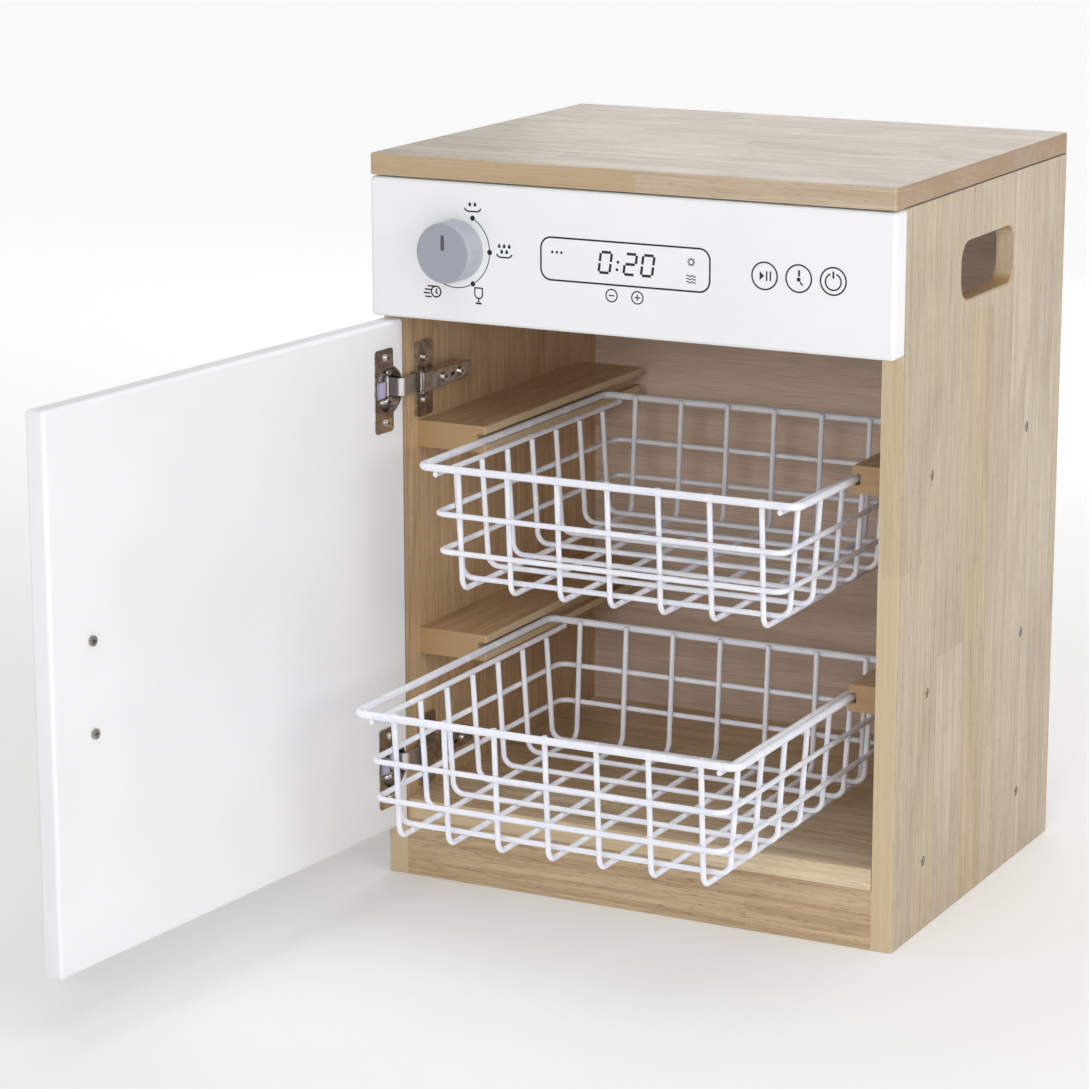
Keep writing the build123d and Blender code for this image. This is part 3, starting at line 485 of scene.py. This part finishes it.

# %% [markdown]
# ## The knob
#
# The knob is moulded ABS plastic in a cool light grey. Its face is drawn darker than its side, as
# painted shade, since the side catches more light. The mould was spark-eroded, which leaves a fine
# matt grit on the part. The pointer is a darker strip again. The darker face needs no piece of its
# own: the recipe darkens what looks straight to the front.

# %% moulded plastic recipe


def moulded_plastic(name, colour, shade, roughness, face=None):
    """Moulded ABS: nearly one colour, with the mould's fine grit in the surface. A part with a face
    colour has it painted on what looks to the front, as painted shade."""
    material, tree, place = new_material(name)
    grit = add(tree, "TexNoise", {"Vector": place, "Scale": 1500.0, "Detail": 2.0})
    cloud = add(tree, "TexNoise", {"Vector": place, "Scale": 60.0, "Detail": 2.0})
    surface = add(tree, "ValToRGB", {"Fac": cloud.outputs[0]},
                  stops=[(0.35, shade), (0.65, colour)]).outputs[0]
    gloss = add(tree, "MapRange", {"Value": grit.outputs[0], "To Min": roughness - 0.05,
                                   "To Max": roughness + 0.05})
    bump = add(tree, "Bump", {"Strength": 0.3, "Distance": 0.04 * mm, "Height": grit.outputs[0]})
    # Painted shade: what looks to the front is drawn darker than the side, which catches more light.
    if face:
        front_shade_facing = add(tree, "SeparateXYZ", {0: add(tree, "TexCoord").outputs["Normal"]}).outputs["Y"]
        front = add(tree, "MapRange", {"Value": front_shade_facing, "From Min": -0.8, "From Max": -0.97})
        surface = add(tree, "Mix", {"Factor": front.outputs[0], 6: surface, 7: linear(face)},
                      data_type="RGBA").outputs[2]
    shader = add(tree, "BsdfPrincipled", {
        "Base Color": surface, "IOR": 1.53, "Roughness": gloss.outputs[0],
        "Normal": bump.outputs[0]})
    add(tree, "OutputMaterial", {"Surface": shader.outputs["BSDF"]})
    print(name, "roughness about", roughness)
    return material


# The knob's face colour is painted shade on its front.
dress(moulded_plastic("grey moulded ABS", "#aeb3bc", "#a8adb7", 0.3, face="#9ca1ad"),
      "program_knob")
dress(moulded_plastic("dark grey moulded ABS", "#55565c", "#4e4f55", 0.45), "knob_pointer")

# %% [markdown]
# ## Printed marks
#
# The panel's marks are screen printed: a layer of black ink, about 0.05 mm thick, that stands a hair
# proud of the lacquer. An image could hold them, but it would blur close up. Each mark is drawn here
# as a flat outline instead, and given the ink's real thickness.

# %% the ink
ink, tree, place = new_material("black screen-print ink")
mottle = add(tree, "TexNoise", {"Vector": place, "Scale": 1200.0, "Detail": 1.0})
gloss = add(tree, "MapRange", {"Value": mottle.outputs[0], "To Min": 0.4, "To Max": 0.6})
tone = add(tree, "ValToRGB", {"Fac": mottle.outputs[0]}, stops=[(0.0, "#0d0d10"), (1.0, "#1c1c20")])
shader = add(tree, "BsdfPrincipled", {
    "Base Color": tone.outputs[0], "IOR": 1.5, "Roughness": gloss.outputs[0]})
add(tree, "OutputMaterial", {"Surface": shader.outputs["BSDF"]})

panel_low, panel_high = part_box("control_panel")
ink_thickness = 0.05 * mm
print("panel", round((panel_high.x - panel_low.x) / mm), "mm wide, ink", ink_thickness / mm, "mm")

# %% [markdown]
# Every new piece takes the same last steps: it gets a material, and is told which body of the toy
# it rides on.

# %% how a new piece joins the toy


def new_object(name, data):
    """Puts a mesh, curve, lamp or camera into the scene."""
    thing = bpy.data.objects.new(name, data)
    bpy.context.scene.collection.objects.link(thing)
    return thing


def add_piece(name, shape, material, body):
    """Makes a drawn mesh or a curve a piece of the toy."""
    data = shape
    if isinstance(shape, bmesh.types.BMesh):
        data = bpy.data.meshes.new(name)
        shape.to_mesh(data)
        shape.free()
    data.materials.append(material)
    piece = new_object(name, data)
    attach(piece, body)
    return piece


# %% [markdown]
# The pen draws in millimetres from the panel's left edge and from the floor. It knows a filled
# outline and a line of even width, and that is enough for every mark.

# %% a pen to draw with


class Print:
    """Flat ink shapes gathered into one mesh. Points are x and z in mm on the panel's front."""

    def __init__(self, name):
        self.name = name
        self.mesh = bmesh.new()

    def fill(self, outline):
        """A filled outline."""
        low = [self.mesh.verts.new((panel_low.x + x * mm, panel_low.y, z * mm)) for x, z in outline]
        face = self.mesh.faces.new(low)
        front = bmesh.ops.extrude_face_region(self.mesh, geom=[face])["geom"]
        moved = [item for item in front if isinstance(item, bmesh.types.BMVert)]
        bmesh.ops.translate(self.mesh, verts=moved, vec=(0, -ink_thickness, 0))

    def stroke(self, points, width, closed=False):
        """A line of even width through the points, with square ends."""
        count = len(points)
        left, right = [], []
        for i, point in enumerate(points):
            here = Vector(point)
            before = Vector(points[i - 1]) if i or closed else here
            after = Vector(points[(i + 1) % count]) if i < count - 1 or closed else here
            one, two = (here - before).normalized(), (after - here).normalized()
            one, two = one if one.length else two, two if two.length else one
            way = (one + two).normalized()
            side = Vector((-way.y, way.x)) * width / 2 / max(0.5, way.dot(one))
            left.append(here + side)
            right.append(here - side)
        last = count if closed else count - 1
        for i in range(last):
            j = (i + 1) % count
            self.fill([left[i], left[j], right[j], right[i]])

    def done(self):
        """Turns the gathered shapes into a piece that rides on the cabinet."""
        bmesh.ops.remove_doubles(self.mesh, verts=self.mesh.verts, dist=0.0001 * mm)
        bmesh.ops.recalc_face_normals(self.mesh, faces=self.mesh.faces)
        piece = add_piece(self.name, self.mesh, ink, "cabinet")
        print(self.name, len(piece.data.polygons), "faces")


def arc(centre, radius, start, end, steps=24):
    """Points on a circle's arc, with angles in degrees."""
    turns = [math.radians(start + (end - start) * i / steps) for i in range(steps + 1)]
    return [(centre[0] + radius * math.cos(t), centre[1] + radius * math.sin(t)) for t in turns]


def ring(centre, radius, steps=32):
    """Points round a whole circle."""
    return arc(centre, radius, 0, 360 - 360 / steps, steps - 1)


print("a ring has", len(ring((0, 0), 1)), "points")

# %% [markdown]
# Round the knob run a thin arc and three dots. The arc leaves a gap at each dot, so it is drawn in
# three pieces.

# %% the dial's marks
dial = (70.8, 484.0)
dial_radius = 27.4
marks = Print("print_dial")
for angle in (60, 0, -60):
    marks.fill(ring(arc(dial, dial_radius, angle, angle, 1)[0], 1.95, 20))
for start, end, steps in ((55, 4, 20), (-4, -55, 20), (-65, -112, 16)):
    marks.stroke(arc(dial, dial_radius, start, end, steps), 0.7)
marks.done()

# %% [markdown]
# Each programme has a plain sign: bowls under water drops, a glass, and a quick clock. A bowl and a
# drop are used more than once, so each is a small function.

# %% the programme symbols


def bowl(sheet, x, z, width):
    """A shallow bowl seen from the side."""
    half = width / 2
    sheet.stroke([(x - half, z + 2.2), (x - half + 1.2, z + 0.8), (x - half + 2.8, z),
                  (x + half - 2.8, z), (x + half - 1.2, z + 0.8), (x + half, z + 2.2)], 1.1)


def drop(sheet, x, z):
    """A water drop, pointed at the top."""
    sheet.fill([(x, z + 2.1), (x - 1.0, z + 0.4), (x - 1.2, z - 0.4), (x - 0.7, z - 1.3),
                (x + 0.7, z - 1.3), (x + 1.2, z - 0.4), (x + 1.0, z + 0.4)])


symbols = Print("print_programmes")
bowl(symbols, 84.6, 512.6, 13.5)
for x in (82.3, 86.5):
    drop(symbols, x, 517.6)
bowl(symbols, 110.0, 481.2, 12.5)
for x in (106.0, 110.0, 114.0):
    drop(symbols, x, 489.2)
for x in (108.0, 112.0):
    drop(symbols, x, 485.2)
symbols.stroke([(86.0, 457.6), (86.0, 452.2), (87.6, 450.2), (90.8, 450.2), (92.2, 452.2),
                (92.2, 457.6)], 1.0, closed=True)
symbols.stroke([(89.1, 450.2), (89.1, 446.6)], 1.1)
symbols.stroke([(86.6, 446.4), (91.6, 446.4)], 1.3)
symbols.stroke(ring((54.2, 452.4), 3.9), 1.1, closed=True)
symbols.stroke([(55.0, 454.6), (54.0, 452.2), (55.6, 450.8)], 1.1)
for x, z in ((47.2, 456.2), (45.0, 453.6), (44.0, 451.0), (45.2, 448.4)):
    symbols.stroke([(x, z), (x + 5.2, z)], 1.1)
symbols.done()

# %% [markdown]
# The display is a rounded outline with seven-segment figures. Each figure is drawn from its
# segments and leans a little to the right.

# %% the display
display = Print("print_display")
left, right, low, high, corner = 139.5, 271.5, 468.0, 498.5, 8.0
outline = []
for x, z, turn in ((right - corner, high - corner, 90), (right - corner, low + corner, 0),
                   (left + corner, low + corner, -90), (left + corner, high - corner, 180)):
    outline += arc((x, z), corner, turn, turn - 90, 8)
display.stroke(outline, 1.3, closed=True)

segments = {
    "a": ((0, 2), (1, 2)), "b": ((1, 2), (1, 1)), "c": ((1, 1), (1, 0)), "d": ((1, 0), (0, 0)),
    "e": ((0, 0), (0, 1)), "f": ((0, 1), (0, 2)), "g": ((0, 1), (1, 1)),
}
figures = {"0": "abcdef", "2": "abged"}
figure_width, figure_half, figure_foot, lean = 8.6, 7.3, 476.2, 0.13
for figure, x in (("0", 185.2), ("2", 204.8), ("0", 218.4)):
    for name in figures[figure]:
        (ax, az), (bx, bz) = segments[name]
        start = Vector((ax * figure_width, az * figure_half))
        end = Vector((bx * figure_width, bz * figure_half))
        gap = (end - start).normalized() * 0.7
        line = [start + gap, end - gap]
        display.stroke([(x + p.x + p.y * lean, figure_foot + p.y) for p in line], 1.9)
for z in (479.0, 484.4):
    display.fill(ring((199.4 + (z - figure_foot) * lean, z), 1.1, 12))
display.done()

# %% [markdown]
# The display holds small signs: a sun, three waves of steam and three dots. Under it are the minus
# and plus buttons. The plus is a bar and two strokes that end just short of it, because two strips
# of ink in one place would flicker.

# %% small signs in the display, and the buttons under it
signs = Print("print_signs")
sun = (257.2, 488.6)
signs.stroke(ring(sun, 1.9, 16), 0.8, closed=True)
for turn in range(0, 360, 45):
    signs.stroke([arc(sun, reach, turn, turn, 1)[0] for reach in (2.5, 3.2)], 0.8)
for z in (474.4, 476.6, 478.8):
    wave = [(253.6 + i * 0.6, z + 0.5 * math.sin(i * math.pi / 3)) for i in range(13)]
    signs.stroke(wave, 0.75)
for x in (148.6, 152.2, 155.8):
    signs.fill(ring((x, 488.0), 1.0, 12))
for x in (195.5, 215.7):
    signs.stroke(ring((x, 460.3), 4.4), 0.95, closed=True)
    signs.stroke([(x - 2.2, 460.3), (x + 2.2, 460.3)], 0.9)
signs.stroke([(215.7, 458.1), (215.7, 459.85)], 0.9)
signs.stroke([(215.7, 460.75), (215.7, 462.5)], 0.9)
signs.done()

# %% [markdown]
# The three round buttons at the right are start and pause, delay, and on and off. They are printed
# rings with a sign inside, and nothing presses in.

# %% the three round buttons
buttons = Print("print_buttons")
for x in (313.0, 338.6, 364.3):
    buttons.stroke(ring((x, 483.1), 9.5, 40), 1.15, closed=True)
buttons.fill([(309.3, 486.3), (309.3, 479.9), (312.7, 483.1)])
buttons.stroke([(314.6, 486.5), (314.6, 479.7)], 1.1)
buttons.stroke([(317.4, 486.5), (317.4, 479.7)], 1.1)
buttons.fill(ring((338.6, 482.4), 1.5, 16))
buttons.stroke([(338.8, 489.0), (338.8, 484.6)], 1.5)
buttons.stroke([(339.7, 480.8), (341.6, 478.4)], 1.2)
buttons.stroke(arc((364.3, 482.7), 5.8, 112, 428, 30), 1.1)
buttons.stroke([(364.3, 489.9), (364.3, 485.0)], 1.3)
buttons.done()

# %% [markdown]
# ## Screw heads
#
# Furniture screws have a cross recess, and a countersunk one sits a little below the wood in a hole
# with a shaded rim. At this size the eye gets a dark star and a dark ring, the shade in the recess
# and in the gap, so both are thin inlays of painted shade.
# Their places are measured on the screws' own meshes, so they stay right if a screw moves.

# %% the heads' places, read from the screws themselves


def separate_solids(node):
    """The corner points of every separate solid in a node."""
    mesh = bmesh.new()
    mesh.from_mesh(nodes[node].data)
    bmesh.ops.remove_doubles(mesh, verts=mesh.verts, dist=0.001 * mm)
    left, found = set(mesh.verts), []
    while left:
        stack, points = [left.pop()], []
        while stack:
            vert = stack.pop()
            points.append(vert.co.copy())
            for edge in vert.link_edges:
                other = edge.other_vert(vert)
                if other in left:
                    left.remove(other)
                    stack.append(other)
        found.append(points)
    mesh.free()
    return found


def head_tops(node, outward):
    """The middle of each head's top, and its radius, for the heads that face outward."""
    way = Vector(outward)
    tops = []
    for points in separate_solids(node):
        reach = max(point.dot(way) for point in points)
        top = [point for point in points if point.dot(way) > reach - 0.05 * mm]
        middle = sum(top, Vector()) / len(top)
        tops.append((middle, max((point - middle).length for point in top)))
    return tops


print("side screws:", len(separate_solids("side_screws")))

# %% [markdown]
# The star has four arms and a middle that is sunk like a funnel, and the ring lies in the gap round
# the head. Both are laid a hair above the metal, facing the way the head does.

# %% stars and rings
# Painted shade: a dark steel for the recesses, gaps and slots that light does not reach into.
shadow = plated_steel("shadowed steel", "#4a4844", "#33312e", 0.45, 0.6)
inlay_lift = 0.04 * mm


def add_star(sheet, spot, size):
    """A four-armed plate, with a sunk middle. Each arm is 22 degrees wide, and the corners between
    the arms lie at a quarter of its size."""
    rim = []
    for quarter in range(4):
        for reach, spread in ((0.26, -45), (1.0, -11), (1.0, 11)):
            angle = quarter * math.pi / 2 + math.radians(spread)
            flat = Vector((size * reach * math.cos(angle), size * reach * math.sin(angle), 0))
            rim.append(sheet.verts.new(spot @ flat))
    middle = sheet.verts.new(spot @ Vector((0, 0, -0.02 * mm)))
    for i in range(len(rim)):
        sheet.faces.new((rim[i], rim[(i + 1) % len(rim)], middle))


def add_ring(sheet, spot, inner, outer, steps=24):
    """A flat dark ring round a head, painted shade of the gap there."""
    turns = [2 * math.pi * i / steps for i in range(steps)]
    loops = [[sheet.verts.new(spot @ Vector((radius * math.cos(t), radius * math.sin(t), 0)))
              for t in turns] for radius in (inner, outer)]
    for i in range(steps):
        j = (i + 1) % steps
        sheet.faces.new((loops[0][i], loops[1][i], loops[1][j], loops[0][j]))


def mark_heads(name, node, body, outward, share=0.55, ring_width=0.0,
               keep=lambda middle: True):
    """Stars, and rings where a width is given, on all of a node's heads that keep() picks."""
    turn = Vector(outward).to_track_quat("Z", "Y").to_matrix().to_4x4()
    sheet, count = bmesh.new(), 0
    for middle, radius in head_tops(node, outward):
        if not keep(middle):
            continue
        spot = Matrix.Translation(middle + Vector(outward) * inlay_lift) @ turn
        add_star(sheet, spot, radius * share)
        if ring_width:
            half = ring_width * mm / 2
            add_ring(sheet, spot, radius - half, radius + half)
        count += 1
    add_piece(name, sheet, shadow, body)
    print(name, "on", count, "heads")


# The door stands open at 95 degrees, so its inner face looks along this direction.
door_angle = math.radians(-95)
door_across = Vector((math.cos(door_angle), math.sin(door_angle), 0))
door_outward = Vector((-math.sin(door_angle), math.cos(door_angle), 0))

for side, sign in (("right", 1), ("left", -1)):
    mark_heads(f"stars_{side}_side", "side_screws", "cabinet", (sign, 0, 0),
               share=0.42, ring_width=0.8, keep=lambda middle: middle.x * sign > 0)
mark_heads("stars_back", "back_panel_screws", "cabinet", (0, 1, 0), ring_width=0.4)
mark_heads("stars_plates", "hinge_plate_screws", "cabinet", (1, 0, 0))
mark_heads("stars_arms", "hinge_arm_screws", "cabinet", (1, 0, 0))
mark_heads("stars_cups", "hinge_cup_screws", "door", door_outward)
mark_heads("stars_handle", "handle_screws", "door", door_outward)
mark_heads("stars_knob", "knob_screw", "knob", (0, 1, 0))

# %% [markdown]
# One screw of each hinge slides in an open slot of the arm, so that the door can be set in depth.
# The slot is a dark inlay of painted shade, for the shade in the open slot, laid on the arm's
# sloping face: its outline is dropped onto the metal with rays, so it follows the slope.

# %% slots in the hinge arms
slots = bmesh.new()
arm_screws = [middle for middle, radius in head_tops("hinge_arm_screws", (1, 0, 0))]
# Half the way between the round ends, and their radius.
slot_half, slot_round = 1.7 * mm, 1.2 * mm
for level in ("upper", "lower"):
    arm_low, arm_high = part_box(f"{level}_hinge_arm")
    on_arm = [middle for middle in arm_screws if arm_low.z < middle.z < arm_high.z]
    middle = sum(on_arm, Vector()) / len(on_arm)
    mesh = nodes[f"{level}_hinge_arm"].data
    metal = BVHTree.FromPolygons([vert.co for vert in mesh.vertices],
                                 [face.vertices for face in mesh.polygons])
    outline = arc((slot_half, 0.0), slot_round, -90, 90, 8)
    outline += arc((-slot_half, 0.0), slot_round, 90, 270, 8)
    rim = []
    for y, z in outline:
        place = metal.ray_cast(Vector((arm_high.x + 10 * mm, middle.y + y, middle.z + z)),
                               Vector((-1, 0, 0)))[0]
        rim.append(slots.verts.new(place + Vector((inlay_lift, 0, 0))))
    slots.faces.new(rim)
    print(level, "slot at y", round(middle.y / mm, 1), "mm")
add_piece("arm_slots", slots, shadow, "cabinet")

# %% [markdown]
# ## What sits in the hinge cups
#
# A soft-closing hinge has a pale plastic block and a small coiled spring in its cup. The block is a
# chamfered wedge: an outline that is given its width and bevelled.

# %% damper blocks
pivot = (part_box("hinge_pins")[0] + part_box("hinge_pins")[1]) / 2
lilac = moulded_plastic("pale lilac moulded nylon", "#b7b2cc", "#aaa5c0", 0.4)
# Along the door and out of its inner face, in mm from the pivot.
block_outline = ((14.0, -2.0), (21.5, -2.0), (21.5, 5.0), (19.0, 8.6), (14.0, 8.6))
block_half = 5.9 * mm


def door_point(x, y, z):
    """A place from mm along the door and out of its inner face, and a height in metres."""
    return Vector((pivot.x, pivot.y, z)) + (door_across * x + door_outward * y) * mm


def add_block(level, middle_z):
    """The damper's block, chamfered all round, with a sloping face on its outer side."""
    block = bmesh.new()
    rings = [[block.verts.new(door_point(x, y, middle_z + side * block_half))
              for x, y in block_outline] for side in (-1, 1)]
    block.faces.new(rings[0])
    block.faces.new(list(reversed(rings[1])))
    for i in range(len(block_outline)):
        j = (i + 1) % len(block_outline)
        block.faces.new((rings[0][i], rings[1][i], rings[1][j], rings[0][j]))
    bmesh.ops.recalc_face_normals(block, faces=block.faces)
    bmesh.ops.bevel(block, geom=list(block.edges), offset=0.6 * mm, segments=2, affect="EDGES")
    add_piece(f"{level}_damper_block", block, lilac, "door")


print("pivot at", [round(v / mm, 1) for v in pivot])

# %% [markdown]
# The spring is close-wound, like the one in a pen. A torus array would leave closed rings, so it is
# one real coil: a curve through the points of a helix, with a round section.

# %% damper springs, and both hinges' cups filled
coil_radius, coil_pitch, coil_start, coil_out, coil_drop = 1.9, 1.05, 7.5, 3.4, 10.6
turns, steps = 9, 12


def add_spring(level, middle_z):
    """A close-wound spring across the cup, under the link."""
    curve = bpy.data.curves.new(f"{level}_damper_spring", "CURVE")
    curve.dimensions = "3D"
    curve.bevel_depth = 0.4 * mm
    curve.bevel_resolution = 2
    line = curve.splines.new("POLY")
    line.points.add(turns * steps)
    for i, point in enumerate(line.points):
        angle = 2 * math.pi * i / steps
        z = middle_z - (coil_drop - coil_radius * math.sin(angle)) * mm
        point.co = (*door_point(coil_start + coil_pitch * i / steps,
                                coil_out + coil_radius * math.cos(angle), z), 1.0)
    add_piece(f"{level}_damper_spring", curve, bright_nickel, "door")


for level in ("upper", "lower"):
    low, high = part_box(f"{level}_hinge_cup")
    add_block(level, (low.z + high.z) / 2)
    add_spring(level, (low.z + high.z) / 2)
print("springs", round(turns * coil_pitch, 1), "mm long")

# %% [markdown]
# ## Floor and light
#
# A catalogue picture is taken in a white cove, a room whose floor fades into white walls. The floor
# is white paper that runs far past the picture. The cove's own lamps brighten it from behind, which
# is drawn as a weak glow that grows with the distance from the toy.

# %% floor
reach = 30.0
floor_data = bpy.data.meshes.new("floor")
corners = [(-reach, -reach, 0), (reach, -reach, 0), (reach, reach, 0), (-reach, reach, 0)]
floor_data.from_pydata(corners, [], [(0, 1, 2, 3)])
floor = new_object("floor", floor_data)
floor.location.z = -0.2 * mm
material, tree, place = new_material("white paper cove")
away = add(tree, "VectorMath", {0: place}, operation="LENGTH")
glow = add(tree, "MapRange", {"Value": away.outputs["Value"], "From Min": 0.2, "From Max": 3.5,
                              "To Max": 0.28}, interpolation_type="SMOOTHSTEP")
shader = add(tree, "BsdfPrincipled", {
    "Base Color": linear("#fbfbfb"), "Roughness": 0.9, "Emission Color": linear("#ffffff"),
    "Emission Strength": glow.outputs[0]})
add(tree, "OutputMaterial", {"Surface": shader.outputs["BSDF"]})
floor_data.materials.append(material)
print("floor", 2 * reach, "m wide")

# %% [markdown]
# The walls need no mesh. They are a bright band low in the world, which fades upward to a dim
# ceiling. The worktop mirrors it at its flat angle, and that makes its wood look pale.

# %% walls
walls_fade, ceiling_from = 0.25, 0.6
scene = bpy.context.scene
scene.view_settings.view_transform = "Standard"
scene.world = bpy.data.worlds.new("white cove walls")
scene.world.use_nodes = True
sky = scene.world.node_tree
height = add(sky, "SeparateXYZ", {0: add(sky, "TexCoord").outputs["Generated"]})
fade = add(sky, "MapRange", {"Value": height.outputs["Z"], "From Min": walls_fade,
                             "From Max": ceiling_from, "To Min": 0.5, "To Max": 0.06},
           interpolation_type="SMOOTHSTEP")
sky.nodes["Background"].inputs["Color"].default_value = linear("#ffffff")
sky.links.new(fade.outputs[0], sky.nodes["Background"].inputs["Strength"])
print("walls up to", round(math.degrees(math.asin(ceiling_from))), "degrees")

# %% [markdown]
# Two wide, soft lamps hang straight above and high at the front right, and light the whole toy. A
# box at the right brightens the door and the side, and makes the front a little brighter at its
# right end. A smaller box by the camera shines under the panel into the tub. It is small enough to
# draw the wires' shadows on the back. A weak one behind draws the sheen on the worktop.

# %% lamps


def far_lamp(name, towards, strength):
    """A lamp so far away that it lights everything alike, as wide as a soft ceiling."""
    lamp = bpy.data.lights.new(name, "SUN")
    lamp.energy = strength
    lamp.angle = math.radians(70)
    new_object(name, lamp).rotation_euler = Vector(towards).to_track_quat("Z", "Y").to_euler()


def soft_box(name, place, aim, size, power):
    """A square lamp that faces a point."""
    lamp = bpy.data.lights.new(name, "AREA")
    lamp.shape = "SQUARE"
    lamp.size = size
    lamp.energy = power
    piece = new_object(name, lamp)
    piece.location = place
    piece.rotation_euler = (Vector(aim) - Vector(place)).to_track_quat("-Z", "Y").to_euler()


far_lamp("ceiling", (0.0, 0.15, 1.0), 1.15)
far_lamp("front_right", (0.5, -0.6, 1.0), 0.8)
soft_box("back_box", (-0.3, 2.2, 1.6), (0.0, 0.1, 0.5), 2.0, 10)
soft_box("side_box", (2.7, -0.8, 1.2), (0.0, 0.0, 0.3), 1.4, 19)
soft_box("near_front", (0.75, -2.5, 1.0), (0.0, 0.1, 0.25), 0.35, 12)
print(len(bpy.data.lights), "lamps")

# %% [markdown]
# ## Camera
#
# The place of the camera was found by matching the photo's straight edges: it stands about 2.8 m
# away, to the right of the toy and a little above it, with a long lens that flattens the depth.

# %% camera
azimuth, elevation, roll = math.radians(27.36), math.radians(13.49), math.radians(-0.07)
focal_pixels, frame_pixels, sensor = 3703, 1089, 36.0
back = Vector((math.sin(azimuth) * math.cos(elevation), -math.cos(azimuth) * math.cos(elevation),
               math.sin(elevation)))
camera_data = bpy.data.cameras.new("camera")
camera_data.sensor_width = sensor
camera_data.lens = focal_pixels / frame_pixels * sensor
camera = new_object("camera", camera_data)
turn = (-back).to_track_quat("-Z", "Y").to_matrix() @ Matrix.Rotation(roll, 3, "Z")
camera.location = (1.13298, -2.33708, 0.89841)
camera.rotation_euler = turn.to_euler()
scene.camera = camera
print("lens", round(camera_data.lens, 1), "mm")
